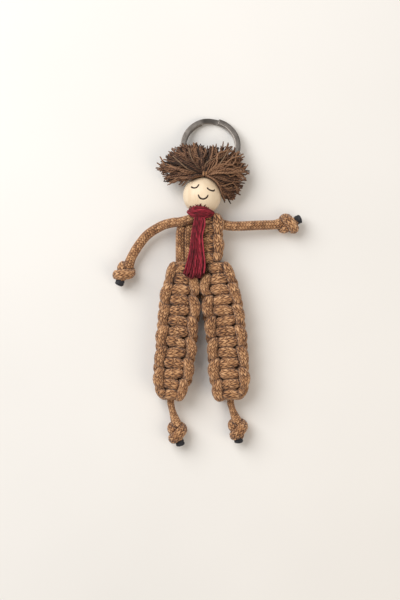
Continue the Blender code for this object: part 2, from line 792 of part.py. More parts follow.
def make_limb_end(side_name, part, route, radius, knot_centre, body):
    """A limb's cord with its round root and its knot, and the tip on its tail."""
    across = math.sin(KNOT_TURN) * KNOT_LINE[:, 0] + math.cos(KNOT_TURN) * KNOT_LINE[:, 1]
    middle = Vector((*knot_centre, np.abs(across).max() + KNOT_CORD / 2 + GAP))
    onward = (middle - Vector(route[-1])).normalized()
    knot_half = KNOT_LINE[:, 2].max() + KNOT_CORD / 2
    tail_end = middle + onward * (knot_half + TIP_DEPTH)
    points = round_start(knotted_cord(route, radius, middle, [middle + onward * knot_half, tail_end]))
    cord_name = f"{side_name}_{'arm' if part == 'hand' else 'ankle'}_cord"
    add_cord(cord_name, points, body)
    make_tip(f"{side_name}_{part}_tip", tail_end, onward, body)
    knot_rows = points[len(points) - KNOT_POINTS - 2:]
    least = measured_gap(knot_rows, apart=KNOT_APART_SHARE * KNOT_CORD)
    print(f"{cord_name}: least gap to itself {1000 * least:.3f} mm")


def make_leg(side_name, hip_x, lean, bow, first_side, body):
    """Fillers and working cords of one leg, with the back bars cut flat where the doll lies."""
    knots = SquareKnots(LEG_HALF_KNOTS, 1.0, first_side, LEG_LAST_RUN_SHARE)
    hip = (hip_x, HIP_Y - LEG_HEAD)
    length = knots.length

    def place(points):
        return leg_place(points, hip, lean, bow, length, LEG_RISE)

    front = place(knots.front_cord())
    back = place(knots.back_cord())
    fillers = {}
    for side, name in ((-1, "left"), (1, "right")):
        run = knots.filler_cord(side, LEG_HEAD - GAP, LEG_FOOT)
        fillers[name] = place(run)
        add_cord(f"{side_name}_leg_filler_{name}", fillers[name], body)
    add_cord(f"{side_name}_leg_front_cord", round_end(round_start(front)), body)
    mesh = closed_mesh(tube_curve("back", round_end(round_start(back))))
    item = add_piece(f"{side_name}_leg_back_cord", mesh, body, "tan_cord")
    boolean(item, FLOOR, "DIFFERENCE")
    gaps = [measured_gap(front, back)]
    gaps += [measured_gap(cord, apart=2 * PITCH) for cord in (front, back)]
    gaps += [measured_gap(cord, run) for cord in (front, back) for run in fillers.values()]
    print(f"{side_name} leg: least gap between cords {1000 * min(gaps):.3f} mm")
    return knots


def make_floor():
    """The cutter whose top face is the plane on which the doll lies."""
    reach = 8 * BEAD_DIAMETER
    block = bmesh.new()
    bmesh.ops.create_cube(block, size=1)
    mesh = bpy.data.meshes.new("floor_cutter")
    block.to_mesh(mesh)
    block.free()
    mesh.transform(Matrix.Translation((0, 0, -OVERRUN / 2)) @ Matrix.Diagonal((reach, reach, OVERRUN, 1)))
    return add_guide("floor_cutter", mesh)


def make_torso(body):
    """Core cords from the bead's bore to the hips, the knots round them and two side cords."""
    knots = SquareKnots(TORSO_HALF_KNOTS, TORSO_TIGHTNESS_SHARE, 1, TORSO_LAST_RUN_SHARE)
    bottom = TORSO_TOP - knots.length

    def place(points):
        rows = np.array(points, float)
        return np.column_stack([
            TORSO_X + rows[:, 0], TORSO_TOP - rows[:, 1], TORSO_RISE + rows[:, 2], rows[:, 3],
        ])

    front = place(knots.front_cord())
    back = place(knots.back_cord())
    add_cord("torso_front_cord", round_end(round_start(front)), body)
    add_cord("torso_back_cord", round_end(round_start(back)), body)
    thin = CORE_IN_BORE / 2
    aside = thin + GAP / 2
    bead_bottom = BEAD.y - BEAD_DIAMETER / 2
    taper = CORE_TAPER_SHARE * knots.pitch
    top = LOOP_PIVOT.y - LOOP_KNOT / 2 - GAP - thin
    for side, name, lean in ((-1, "left", NECK_LEAN), (1, "right", 0)):
        core_x = TORSO_X + side * knots.filler_across
        rows = [
            (BEAD_X + side * aside, top, BEAD.z, thin),
            (BEAD_X + side * aside, BEAD.y, BEAD.z, thin),
            (BEAD_X + side * (aside + GAP), bead_bottom, BEAD.z, thin),
            (core_x + lean, TORSO_TOP + taper, TORSO_RISE, thin),
            (core_x, TORSO_TOP - taper, TORSO_RISE, knots.filler),
            (core_x, (TORSO_TOP + bottom) / 2, TORSO_RISE, knots.filler),
            (core_x, bottom - CORE_TAIL, TORSO_RISE, knots.filler),
        ]
        core = smooth_path(rows, 3)
        add_cord(f"core_cord_{name}", round_start(core), body)
        print(f"core cord {name}: gap to front {1000 * measured_gap(front, core):.3f}"
              f" and to back {1000 * measured_gap(back, core):.3f} mm")
    side_half = SIDE_CORD / 2
    edge = TORSO_X - knots.width / 2
    inner_x = edge - GAP - side_half
    outer_x = inner_x - GAP - SIDE_CORD
    foot = HIP_Y + GAP + side_half
    shoulder_y = LEFT_SHOULDER[1]
    arm_half = ARM_CORD / 2
    inner = smooth_path([
        (inner_x, foot, TORSO_RISE, side_half),
        (inner_x, (foot + shoulder_y) / 2, TORSO_RISE, side_half),
        (inner_x, shoulder_y - SIDE_TURN_SHARE * SIDE_CORD, TORSO_RISE, side_half),
        (inner_x - SIDE_LEAN_SHARE * side_half, shoulder_y - SIDE_BEND_SHARE * side_half, TORSO_RISE,
         side_half),
        (LEFT_SHOULDER[0] + arm_half + GAP + side_half, shoulder_y, LEFT_SHOULDER[2], side_half),
    ], 3)
    add_cord("side_cord_inner", round_start(inner), body)
    outer_top = shoulder_y - arm_half - 2 * GAP - side_half
    outer = smooth_path([
        (outer_x, foot, TORSO_RISE, side_half),
        (outer_x, (foot + outer_top) / 2, TORSO_RISE, side_half),
        (outer_x, outer_top, TORSO_RISE, side_half),
    ], 3)
    add_cord("side_cord_outer", round_end(round_start(outer)), body)
    return knots


def move_to_origin(root):
    """Puts the world origin at the middle of the underside of everything."""
    bpy.context.view_layer.update()
    graph = bpy.context.evaluated_depsgraph_get()
    corners = []
    for item in DOLL.objects:
        if item.type == "EMPTY":
            continue
        shape = item.evaluated_get(graph)
        mesh = shape.to_mesh()
        rows = np.empty(3 * len(mesh.vertices))
        mesh.vertices.foreach_get("co", rows)
        rows = rows.reshape(-1, 3) @ np.array(item.matrix_world.to_3x3()).T
        rows += np.array(item.matrix_world.translation)
        corners += [rows.min(axis=0), rows.max(axis=0)]
        shape.to_mesh_clear()
    low, high = np.min(corners, axis=0), np.max(corners, axis=0)
    for guide in GUIDES.objects:
        guide.parent = root
    root.location = (-(low[0] + high[0]) / 2, -(low[1] + high[1]) / 2, -low[2])
    bpy.context.view_layer.update()
    print("size", [round(float(1000 * side), 2) for side in high - low])
    for item in DOLL.objects:
        if item.type == "EMPTY":
            print("axis place", item.name, [round(value, 5) for value in item.matrix_world.translation])


clear_scene()
DOLL = new_collection("yarn_doll")
GUIDES = new_collection("cutters")

# Places that follow from the sizes
BEAD = Vector((BEAD_X, TORSO_TOP + NECK_LENGTH + BEAD_DIAMETER / 2, BEAD_DIAMETER / 2))
WIRE_HALF = math.hypot(RING_BAND, 2 * RING_LAYER + RING_LAYER_GAP) / 2
LOOP_EYE = WIRE_HALF + GAP + LOOP_CORD / 2
MOUTH = math.sqrt((BEAD_DIAMETER / 2) ** 2 - (BEAD_BORE / 2) ** 2)
LOOP_PIVOT = BEAD + Vector((0, MOUTH + LOOP_KNOT_RISE, 0))
WIRE_PLACE = LOOP_PIVOT + Vector((0, LOOP_KNOT / 2 + GAP + WIRE_HALF, 0))
RING_MEAN = (RING_DIAMETER - RING_BAND) / 2
RING_UP = math.sqrt(RING_MEAN ** 2 - RING_ASIDE ** 2)
RING_TILT = -math.asin((BEAD.z - RING_LAYER - RING_LAYER_GAP / 2) / (RING_UP + RING_MEAN + RING_BAND / 2))
RING_CENTRE = WIRE_PLACE + Vector((RING_ASIDE, RING_UP * math.cos(RING_TILT), RING_UP * math.sin(RING_TILT)))
HAIR_KNOT = BEAD + Vector((0, BEAD_DIAMETER / 2 + HAIR_ABOVE_BEAD, HAIR_FORWARD))
SCARF_X = BEAD_X - SCARF_ASIDE
BAND_FRONT = band_place(BAND_FRONT_AWAY, BAND_FRONT_ANGLE)
BAND_BACK = band_place(BAND_BACK_AWAY, BAND_BACK_ANGLE)
BAND_LOW = BEAD.y - BAND_FRONT[0] - BAND_FRONT_HEIGHT / 2 * math.cos(BAND_TILT)
TAIL_TOP = BAND_LOW - TAIL_BELOW_BAND
TAIL_RISE = BEAD.z + BAND_FRONT[1] - BAND_FRONT_HEIGHT / 2 * math.sin(BAND_TILT) + TAIL_FORWARD
LEG_RISE = FILLER / 2 + CORD_GAP + BAR_LIFT + BAR - FLAT_DEPTH
KNOT_LINE = tightened_knot()
FLOOR = make_floor()
TORSO_HALF_WIDTH = SENNIT_WIDTH * TORSO_TIGHTNESS_SHARE / 2
LEFT_LEG_X = LEGS_X - (SENNIT_WIDTH + LEGS_APART) / 2
RIGHT_LEG_X = LEGS_X + (SENNIT_WIDTH + LEGS_APART) / 2
HIP_LEFT_X = TORSO_X - TORSO_HALF_WIDTH - 2 * GAP - 2 * SIDE_CORD
HIP_RIGHT_X = TORSO_X + TORSO_HALF_WIDTH
RIGHT_SHOULDER = (HIP_RIGHT_X + GAP + ARM_CORD / 2, RIGHT_SHOULDER_Y, RIGHT_SHOULDER_RISE)

torso = add_body("torso", (0, 0, 0))
head = add_body("head", BEAD, torso)
loop = add_body("loop", LOOP_PIVOT, torso)
ring = add_body("ring", RING_CENTRE, loop)
tail_body = add_body("scarf_end", (SCARF_X, TAIL_TOP, TAIL_RISE), torso)
left_arm = add_body("left_arm", LEFT_SHOULDER, torso)
right_arm = add_body("right_arm", RIGHT_SHOULDER, torso)
left_leg = add_body("left_leg", (HIP_LEFT_X, HIP_Y, LEG_RISE), torso)
right_leg = add_body("right_leg", (HIP_RIGHT_X, HIP_Y, LEG_RISE), torso)

make_bead(head)
make_ring(ring)
make_loop(loop)
make_hair("hair_left", LEFT_FAN, LEFT_FAN_LENGTHS, -1, torso)
make_hair("hair_right", RIGHT_FAN, RIGHT_FAN_LENGTHS, 1, torso)
make_hair_tie(torso)
make_scarf_band(torso)
make_scarf_tail(tail_body)
make_torso(torso)
leg_knots = make_leg("left", LEFT_LEG_X, LEFT_LEG_LEAN, LEFT_LEG_BOW, 1, left_leg)
make_leg("right", RIGHT_LEG_X, RIGHT_LEG_LEAN, RIGHT_LEG_BOW, -1, right_leg)
for name, arm, shoulder, route, hand in (
    ("left", left_arm, LEFT_SHOULDER, LEFT_ARM_ROUTE, LEFT_HAND),
    ("right", right_arm, RIGHT_SHOULDER, RIGHT_ARM_ROUTE, RIGHT_HAND),
):
    make_limb_end(name, "hand", [shoulder] + route, ARM_CORD / 2, hand, arm)
for name, leg, leg_x, lean, foot_place in (
    ("left", left_leg, LEFT_LEG_X, LEFT_LEG_LEAN, LEFT_FOOT),
    ("right", right_leg, RIGHT_LEG_X, RIGHT_LEG_LEAN, RIGHT_FOOT),
):
    ankle_y = HIP_Y - LEG_HEAD - leg_knots.length - LEG_FOOT - GAP - ANKLE_CORD / 2
    ankle = Vector((leg_x - lean, ankle_y, ANKLE_RISE))
    foot = add_body(f"{name}_foot", ankle, leg)
    knee = ankle.lerp(Vector((*foot_place, ANKLE_RISE)), KNEE_SHARE)
    make_limb_end(name, "foot", [tuple(ankle), tuple(knee)], ANKLE_CORD / 2, foot_place, foot)
move_to_origin(torso)
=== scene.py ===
"""The looks of a knotted cord doll that lies on its back on a pale table.

Shapes are worked out in millimetres in the doll's drawing frame: X to the viewer's right, Y from the feet
to the ring, Z up.  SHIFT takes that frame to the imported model's.  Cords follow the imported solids' routes,
drawn in or moved by up to a few millimetres as in the photograph, and swell until they touch each other,
as soft cord does when it is pulled tight.
"""

import math

import bpy
import numpy as np
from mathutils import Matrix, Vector


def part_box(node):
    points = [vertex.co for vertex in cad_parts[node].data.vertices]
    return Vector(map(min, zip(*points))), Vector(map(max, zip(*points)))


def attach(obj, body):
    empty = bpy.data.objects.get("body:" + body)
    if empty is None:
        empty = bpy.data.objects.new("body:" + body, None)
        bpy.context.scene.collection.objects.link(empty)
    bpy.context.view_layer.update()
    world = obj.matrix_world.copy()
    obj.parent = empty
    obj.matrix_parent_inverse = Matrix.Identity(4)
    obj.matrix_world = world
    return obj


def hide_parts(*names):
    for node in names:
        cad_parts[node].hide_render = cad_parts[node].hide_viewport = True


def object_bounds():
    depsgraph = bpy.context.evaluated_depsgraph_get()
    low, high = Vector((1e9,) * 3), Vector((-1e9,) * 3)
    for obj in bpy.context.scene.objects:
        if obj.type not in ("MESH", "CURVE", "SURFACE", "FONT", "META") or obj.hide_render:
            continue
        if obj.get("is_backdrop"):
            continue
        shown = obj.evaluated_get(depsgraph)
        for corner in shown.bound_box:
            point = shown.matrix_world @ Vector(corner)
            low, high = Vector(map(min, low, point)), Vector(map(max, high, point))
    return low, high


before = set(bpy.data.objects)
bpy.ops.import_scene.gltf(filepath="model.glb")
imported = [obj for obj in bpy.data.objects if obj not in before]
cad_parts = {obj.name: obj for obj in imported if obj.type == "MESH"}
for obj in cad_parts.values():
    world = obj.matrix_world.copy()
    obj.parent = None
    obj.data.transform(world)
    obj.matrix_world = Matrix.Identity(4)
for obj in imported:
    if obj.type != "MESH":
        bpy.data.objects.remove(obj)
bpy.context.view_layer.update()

MM = 0.001
GAP = 0.3
TABLE_GAP = 0.03
UV_MM = 10.0  # millimetres along a piece in one unit of its UV map
X_WAY, Y_WAY, Z_WAY = np.eye(3)

# What the camera sees: its height in metres, and its middle in the drawing frame, in metres
FRAME_HEIGHT = 0.315
FRAME_CENTRE = (-0.00525, -0.00861)

# Head bead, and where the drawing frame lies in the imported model
BEAD = np.array([-4.1, 46.0, 10.0])
BEAD_RADIUS = 10.0
BORE_RADIUS = 3.1
BORE_EASE = 0.4
low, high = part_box("head_bead")
SHIFT = np.array((low + high) / 2) / MM - BEAD

# Face: points of each drawn line, seen from the front, and the line's half width and height
FACE_LINES = {
    "left_eye": [(-9.95, 50.45), (-9.35, 49.85), (-8.3, 49.55), (-7.1, 49.8), (-6.3, 50.6), (-5.75, 51.5)],
    "right_eye": [(-1.65, 49.8), (-1.0, 49.0), (0.1, 48.35), (1.2, 48.1), (2.0, 48.2), (2.4, 48.8)],
    "smile": [(-6.2, 46.1), (-5.7, 44.8), (-4.9, 44.05), (-3.7, 43.75), (-2.5, 44.05), (-1.6, 44.8),
              (-1.0, 46.0)],
}
LINE_WIDE = 0.44
LINE_HIGH = 0.10

# Knitted cord: its rings and sides, and the stitches of its plaits, in millimetres or shares of a stitch
PATH_STEPS = 14
RING_STEP = 0.3
SIDES = 44
PLAITS = 9
STITCH = 1.5
STITCH_SLANT = 0.75  # how far a stitch's V reaches ahead at the plait's edges
STITCH_FADE = 0.55  # how much lower it is there
PLAIT_SHIFT = 0.38
RELIEF = 0.22

# Soft cord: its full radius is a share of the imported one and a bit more, up to the fullest
FULLER_SHARE = 1.05
FULLER = 0.75
TORSO_FULLER = 1.15
SIDE_FULLER = 0.4
FULLEST = 2.9
COARSE = 3  # only one ring in so many is worked out while cords swell
NEAREST = 14  # places on neighbours that each of these rings is tested against
SELF_APART = 6.0  # how far along itself a cord counts as its own neighbour
WANDER = 0.22
WAVES = np.array([2.1, 3.7, 6.3])  # millimetres for one radian of each slow wave
HAND = np.random.default_rng(3)

# Square knots, for one half knot of a leg
PITCH = 5.5
SENNIT_WIDTH = 19.8
FILLER = 3.2
BAR = 4.5
BUMP = 4.0
SIDE_RUN = 2.8
SQUEEZED = 2.1
CORD_GAP = 0.4
BAR_LIFT = 0.4
BAR_CROWN = 0.2
SIDE_LIFT = 0.1
BACK_PRESSED = 0.45

# Legs.  A leg leans to one side and bows on its way down.  Its knots are drawn in at the outer side of the
# top (hollow) and at the bottom (taper), each a share, and are fuller inside, most at some distance down.
# Each of the three has its run, the distance over which it fades
LEG_HALF_KNOTS = 13
LEG_HEAD = 3.1
LEG_FOOT = 2.8
LEG_RISE = FILLER / 2 + CORD_GAP + BAR_LIFT + BAR - BACK_PRESSED
LEG_WANDER = 1.4 * WANDER
HOLLOW_RUN = 13.0
TAPER_RUN = 7.0
INNER_RUN = 15.0
INNER_FULLER = 0.08
HIP_Y = 11.0
ANKLE = 3.6
ANKLE_FULL = 1.8
ANKLE_RISE = 5.8
LEGS = {
    "left": {"hip_x": -15.7, "lean": 5.0, "bow": 0.9, "first_side": 1, "outer": -1, "hollow": 0.50,
             "fullest": 28.0, "taper": 0.38, "foot": (-17.2, -77.9), "tip_turned": 0},
    "right": {"hip_x": 4.6, "lean": -6.2, "bow": 0.6, "first_side": -1, "outer": 1, "hollow": 0.45,
              "fullest": 14.0, "taper": 0.20, "foot": (14.8, -76.2), "tip_turned": -15},
}

# Torso, whose knots are pulled tighter and bulge more at the sides
TORSO_HALF_KNOTS = 5
TORSO_TIGHT = 0.82
TORSO_PITCH = 4.9
TORSO_BUMP = 2.05
TORSO_EDGE = 5.8
TORSO_X = -1.3
TORSO_TOP = 33.2
TORSO_RISE = 7.2
CORE_THIN = 1.05
SIDE_CORD = 4.1
SIDE_CORD_X = TORSO_X - SENNIT_WIDTH * TORSO_TIGHT / 2 - SIDE_CORD / 2 + 0.3

# Arms: the route from the shoulder to the wrist, where the hand's knot stands, and how many degrees its
# tip is turned
ARM = 4.4
ARM_FULL = 2.5
ARM_FULLER = ARM_FULL - FULLER_SHARE * ARM / 2
LEFT_SHOULDER = (-16.6, 32.2, 8.0)
RIGHT_SHOULDER = (9.8, 30.3, 8.5)
ARMS = {
    "left": ([
        LEFT_SHOULDER, (-19.0, 32.1, 8.0), (-24.0, 30.9, 7.5), (-28.7, 28.6, 6.8), (-33.0, 25.6, 6.0),
        (-36.4, 21.7, 5.6), (-39.2, 17.6, 5.4), (-41.6, 13.1, 5.3)], (-44.9, 6.1), 0),
    "right": ([
        RIGHT_SHOULDER, (13.0, 30.1, 8.3), (19.0, 30.3, 7.6), (25.0, 30.6, 6.8), (30.0, 30.8, 6.1),
        (34.0, 31.0, 5.6)], (40.8, 31.5), 17),
}

# Half of the overhand knot's centre line: the other half is the same, turned about its Y axis
KNOT_HALF = np.array([
    (-1.08, 0.22, -3.34), (-1.17, -0.03, -1.73), (-1.46, -0.67, -0.41), (-1.38, -1.54, 0.71),
    (-0.82, -2.33, 1.67), (0.13, -2.83, 2.45), (1.30, -2.92, 2.99), (2.49, -2.56, 3.20),
    (3.46, -1.75, 3.08), (4.01, -0.67, 2.74), (4.09, 0.50, 2.26), (3.70, 1.58, 1.70),
    (2.90, 2.40, 1.13), (1.81, 2.86, 0.62), (0.61, 2.98, 0.20),
])
KNOT_TURN = math.radians(62.0)
KNOT_PACKED = 1.0
KNOT_FULL = 2.9
KNOT_SHRINK = (0.66, 0.80, 0.92)
KNOT_CORD = 2.6

# The dark seal on a cord's end: length along the cord and radius there
SEAL_PROFILE = [
    (0.0, 1.85), (0.15, 2.05), (0.5, 2.3), (1.0, 2.36), (1.8, 2.28), (2.6, 2.32), (3.1, 2.08), (3.4, 1.5),
    (3.55, 0.8), (3.58, 0.2)]

# Split ring of flat wire and the cord eye that holds it
RING_MEAN = 14.3
RING_BAND = 2.8
RING_LAYER = 1.2
RING_LAYER_GAP = 0.08
RING_CORNER = 0.28  # the power that squares the wire's section: 1 would be an ellipse
RING_SPIRAL = 0.1  # how far the turns' radii are from their mean
RING_STEP_ANGLE = math.radians(34.0)
RING_STEP_PLACE = math.radians(110.0)
RING_SHORT = math.radians(3.0)  # how far the wire's end stays off the step
RING_ASIDE = 4.4
LOOP_CORD = 1.7
LOOP_KNOT = 2.6
MOUTH = math.sqrt(BEAD_RADIUS ** 2 - BORE_RADIUS ** 2)
WIRE_HALF = math.hypot(RING_BAND, 2 * RING_LAYER + RING_LAYER_GAP) / 2
LOOP_PIVOT = BEAD + (0, MOUTH + 0.2, 0)
WIRE_PLACE = LOOP_PIVOT + (0, LOOP_KNOT / 2 + GAP + WIRE_HALF, 0)
RING_UP = math.sqrt(RING_MEAN ** 2 - RING_ASIDE ** 2)
RING_DROP = BEAD[2] - RING_LAYER - RING_LAYER_GAP / 2
RING_TILT = -math.asin(RING_DROP / (RING_UP + RING_MEAN + RING_BAND / 2))
RING_CENTRE = WIRE_PLACE + (RING_ASIDE, RING_UP * math.cos(RING_TILT), RING_UP * math.sin(RING_TILT))

# Hair: for each fan, its root, its strands' angles in degrees and how far they reach there, and how much
# lighter its strands are painted: painted light on the fan away from the key lamp
HAIR_SEED = 7
HAIR_RADIUS = 0.43
HAIR_LOW = 10.2
HAIR_DEEP = 4.0
HAIR_DROOP = 3.0
HAIR_TIE = (57.6, 14.55)
FANS = {
    "left": {
        "root": (-3.9, 56.4), "strands": 245, "locks": 24, "painted_light": 0.0,
        "angles": (80, 102, 116, 128, 142, 155, 167, 180, 188, 198),
        "reach": (15.0, 18.3, 19.8, 20.5, 22.4, 22.6, 24.3, 23.6, 22.0, 16.0)},
    # the right fan, on the side away from the key lamp, is painted lighter: painted light
    "right": {
        "root": (-2.1, 56.4), "strands": 285, "locks": 28, "painted_light": 0.22,
        "angles": (-51, -38, -28, -18, -8, 1, 14, 30, 39, 54, 66, 78, 97),
        "reach": (17.5, 21.0, 20.2, 20.5, 21.8, 23.0, 22.4, 22.5, 20.6, 20.4, 17.2, 16.0, 15.0)},
}
LOOSE_STRANDS = [
    [(-3.2, 58.0, 15.5), (-2.4, 62.0, 17.6), (1.6, 64.6, 18.0), (6.2, 65.2, 16.4)],
    [(-1.6, 57.4, 15.2), (3.6, 60.5, 18.0), (6.8, 64.6, 18.2), (9.6, 69.6, 16.0)],
    [(-4.6, 58.2, 15.8), (-8.4, 62.8, 18.2), (-10.2, 66.8, 17.4), (-11.0, 70.6, 15.0)],
    [(-5.4, 57.4, 15.2), (-11.4, 59.4, 18.0), (-16.0, 63.2, 16.8), (-19.4, 66.4, 14.2)],
]

# Scarf: yarn round the neck and yarn that hangs, whose left and right edges are given from the top down
SCARF_X = -4.8
SCARF_Y = 37.1
SCARF_YARN = 0.66
WRAP_WIDE = 6.9
WRAP_FRONT = 7.5
WRAP_BACK = 6.3
TAIL_YARN = 0.47
TAIL_LEVELS = np.array([34.6, 31.0, 25.0, 18.7, 11.3, 6.5, 2.8])
TAIL_LEFT = np.array([-8.2, -8.8, -9.6, -10.2, -11.9, -13.2, -13.8])
TAIL_RIGHT = np.array([-2.8, -2.3, -3.8, -3.2, -2.0, -2.2, -2.7])
TAIL_SINKS = np.array([0.4, 0, 0, 0, 0.1, 0.3, 0.6])
TAIL_LAYERS = (14, 17, 16, 11)  # strands in each, from the back
TAIL_RISE = 14.5
TAIL_LAYER = 0.75
TAIL_CROWN = 0.8


def math_node(operation):
    """A method of Value that adds a Math node of that operation."""
    return lambda value, *others: value.finish.sum(operation, value, *others)


class Value:
    """A number that a shader works out: sums on it add Math nodes."""

    def __init__(self, finish, socket):
        self.finish = finish
        self.socket = socket

    __add__ = __radd__ = math_node("ADD")
    __mul__ = __rmul__ = math_node("MULTIPLY")
    __sub__ = math_node("SUBTRACT")
    __pow__ = math_node("POWER")
    __mod__ = math_node("FLOORED_MODULO")
    __abs__ = math_node("ABSOLUTE")

    def __rsub__(self, other):
        return self.finish.sum("SUBTRACT", other, self)


class Nodes:
    """A node tree under construction."""

    def __init__(self, tree):
        self.tree = tree

    def node(self, kind, inputs=None, **settings):
        """Adds a node of that type, makes its settings and then fills its sockets with values or links."""
        node = self.tree.nodes.new(kind)
        for name, value in settings.items():
            setattr(node, name, value)
        for name, value in (inputs or {}).items():
            self.fill(node.inputs[name], value)
        return node

    def fill(self, socket, value):
        if isinstance(value, Value):
            value = value.socket
        if isinstance(value, bpy.types.NodeSocket):
            self.tree.links.new(value, socket)
        else:
            socket.default_value = value


class Finish(Nodes):
    """A material under construction, whose shader is a Principled BSDF."""

    def __init__(self, name, **constants):
        self.material = bpy.data.materials.new(name)
        self.material.use_nodes = True
        super().__init__(self.material.node_tree)
        self.shader = self.tree.nodes["Principled BSDF"]
        for socket, value in constants.items():
            self.shader.inputs[socket.replace("_", " ")].default_value = value

    def sum(self, operation, *terms):
        node = self.node("ShaderNodeMath", dict(enumerate(terms)), operation=operation)
        return Value(self, node.outputs[0])

    def uv(self):
        """The share of a turn round the piece and the millimetres along it."""
        place = self.node("ShaderNodeTexCoord").outputs["UV"]
        parts = self.node("ShaderNodeSeparateXYZ", {0: place}).outputs
        return Value(self, parts[0]), Value(self, parts[1]) * UV_MM

    def tone_and_shade(self):
        """How much darker the piece is at a point than its finish, from -1 to 1, kept on the piece: its own
        random tone, painted shading and painted light, as each piece holds them.
        """
        return Value(self, self.node("ShaderNodeAttribute", attribute_name="tone_and_shade").outputs["Fac"])

    def here(self, stretch=(1.0, 1.0, 1.0)):
        """The place on the piece in metres, stretched along the axes."""
        place = self.node("ShaderNodeTexCoord").outputs["Object"]
        return self.node("ShaderNodeMapping", {"Vector": place, "Scale": stretch}).outputs[0]

    def pair(self, one, two):
        return self.node("ShaderNodeCombineXYZ", {0: one, 1: two}).outputs[0]

    def noise(self, scale, detail, vector=None):
        inputs = {"Vector": vector or self.here(), "Scale": scale, "Detail": detail}
        return Value(self, self.node("ShaderNodeTexNoise", inputs).outputs[0])

    def speckle(self, one, two):
        """A random number for each pair of whole numbers."""
        node = self.node("ShaderNodeTexWhiteNoise", {"Vector": self.pair(one, two)}, noise_dimensions="2D")
        return Value(self, node.outputs["Value"])

    def colour(self, value, stops):
        """Paints the base colour by a value, between stops of a position and a colour."""
        node = self.node("ShaderNodeValToRGB", {0: value})
        elements = node.color_ramp.elements
        while len(elements) < len(stops):
            elements.new(0.5)
        for element, (position, colour) in zip(elements, stops):
            element.position = position
            element.color = (*colour, 1)
        self.paint("Base Color", node.outputs[0])

    def bump(self, height, distance, strength):
        """Tilts the surface as a height does whose full rise is that many millimetres."""
        inputs = {"Height": height, "Distance": distance * MM, "Strength": strength}
        self.paint("Normal", self.node("ShaderNodeBump", inputs).outputs[0])

    def paint(self, socket, value):
        self.fill(self.shader.inputs[socket], value)


def knitted_finish(name, tones):
    """Knitted cord: V stitches with painted shading in the slits between them, each stitch of its own tone,
    and fine fibres.

    The stitches are those of stitch_height, so that the colours lie on the relief."""
    finish = Finish(name, Roughness=0.9, Sheen_Weight=0.25, Sheen_Roughness=0.5)
    turn, along = finish.uv()
    column = turn * PLAITS
    across = abs((column % 1.0) * 2.0 - 1.0)
    plait = column - column % 1.0
    row = along * (1.0 / STITCH) + across * STITCH_SLANT + plait * PLAIT_SHIFT
    stitch = row - row % 1.0
    ridge = finish.sum("SINE", row % 1.0 * math.pi) * (1.0 - across * across * STITCH_FADE)
    tone = finish.speckle(plait + 31.0, stitch)
    # painted shading: the hollows between the stitches are darker, more at some stitches than at others
    slit_shade = (1.0 - ridge) ** 1.8 * (finish.speckle(plait, stitch + 57.0) + 0.45)
    fibre = finish.noise(2600.0, 3.0)
    worn = finish.noise(150.0, 2.0)
    level = 0.76 + (tone - 0.5) * 0.36 + (fibre - 0.5) * 0.60 + (worn - 0.5) * 0.30 - slit_shade * 0.95
    # the stored attribute darkens each cord with painted shading where its neighbours press it in
    finish.colour(level - finish.tone_and_shade() * 0.85, tones)
    finish.bump(ridge + fibre * 0.4, 0.30, 0.7)
    return finish.material


def yarn_finish(name, tones, plies, pitch, depth, sheen):
    """Spun yarn: plies that wind round it once a pitch, with fuzzy fibres.  The plies' crests are painted
    lighter and their grooves darker, by the depth: painted light and shading on their relief.
    """
    finish = Finish(name, Roughness=0.92, Sheen_Weight=sheen, Sheen_Roughness=0.45)
    turn, along = finish.uv()
    wound = (turn * plies + along * (plies / pitch)) % 1.0
    ridge = finish.sum("SINE", wound * math.pi)
    fibre = finish.noise(1.0, 4.0, finish.pair(turn * 7.0 + wound, along * 0.5))
    patch = finish.noise(420.0, 2.0)
    # the stored attribute darkens each strand by its own tone and by painted shading, and lightens it by
    # painted light
    level = (ridge * depth + (fibre - 0.5) * 1.1 + (patch - 0.5) * 0.6 + 0.5 - 0.55 * depth
             - finish.tone_and_shade() * 0.5)
    finish.colour(level, tones)
    finish.bump(ridge + fibre * 0.6, 0.25, 0.8)
    return finish.material


def wood_finish():
    """Sanded pale beech with faint grain along the bore and small pores."""
    finish = Finish("pale_wood", Roughness=0.42, Coat_Weight=0.12, Coat_Roughness=0.3)
    grain = finish.noise(420.0, 4.0, finish.here((1.050, 0.094, 1.023)))
    pores = finish.noise(1900.0, 2.0, finish.here((1.050, 0.167, 1.023)))
    finish.colour(grain * 0.75 + pores * 0.25, [
        (0.30, (0.76, 0.575, 0.385)), (0.46, (0.82, 0.650, 0.455)), (0.60, (0.86, 0.700, 0.500)),
        (0.75, (0.79, 0.605, 0.410))])
    finish.paint("Roughness", 0.36 + grain * 0.16)
    finish.bump(pores, 0.03, 0.5)
    return finish.material


def steel_finish():
    """Spring steel drawn to a flat wire: faint marks along it and dull patches."""
    finish = Finish("steel", Metallic=1.0)
    turn, along = finish.uv()
    drawn = finish.noise(1.0, 4.0, finish.pair(turn * 60.0, along * 0.35))
    dull = finish.noise(300.0, 3.0)
    finish.colour(drawn * 0.6 + dull * 0.4, [
        (0.30, (0.150, 0.133, 0.120)), (0.50, (0.208, 0.184, 0.165)), (0.70, (0.270, 0.240, 0.216))])
    finish.paint("Roughness", 0.24 + dull * 0.20)
    finish.bump(drawn, 0.02, 0.4)
    return finish.material


def plain_finish(name, dark, light, roughness, scale, depth):
    """One colour with soft patches and a slightly uneven surface."""
    finish = Finish(name)
    patch = finish.noise(scale, 3.0)
    finish.colour(patch, [(0.35, dark), (0.65, light)])
    finish.paint("Roughness", roughness + patch * 0.2)
    finish.bump(patch, depth, 0.6)
    return finish.material


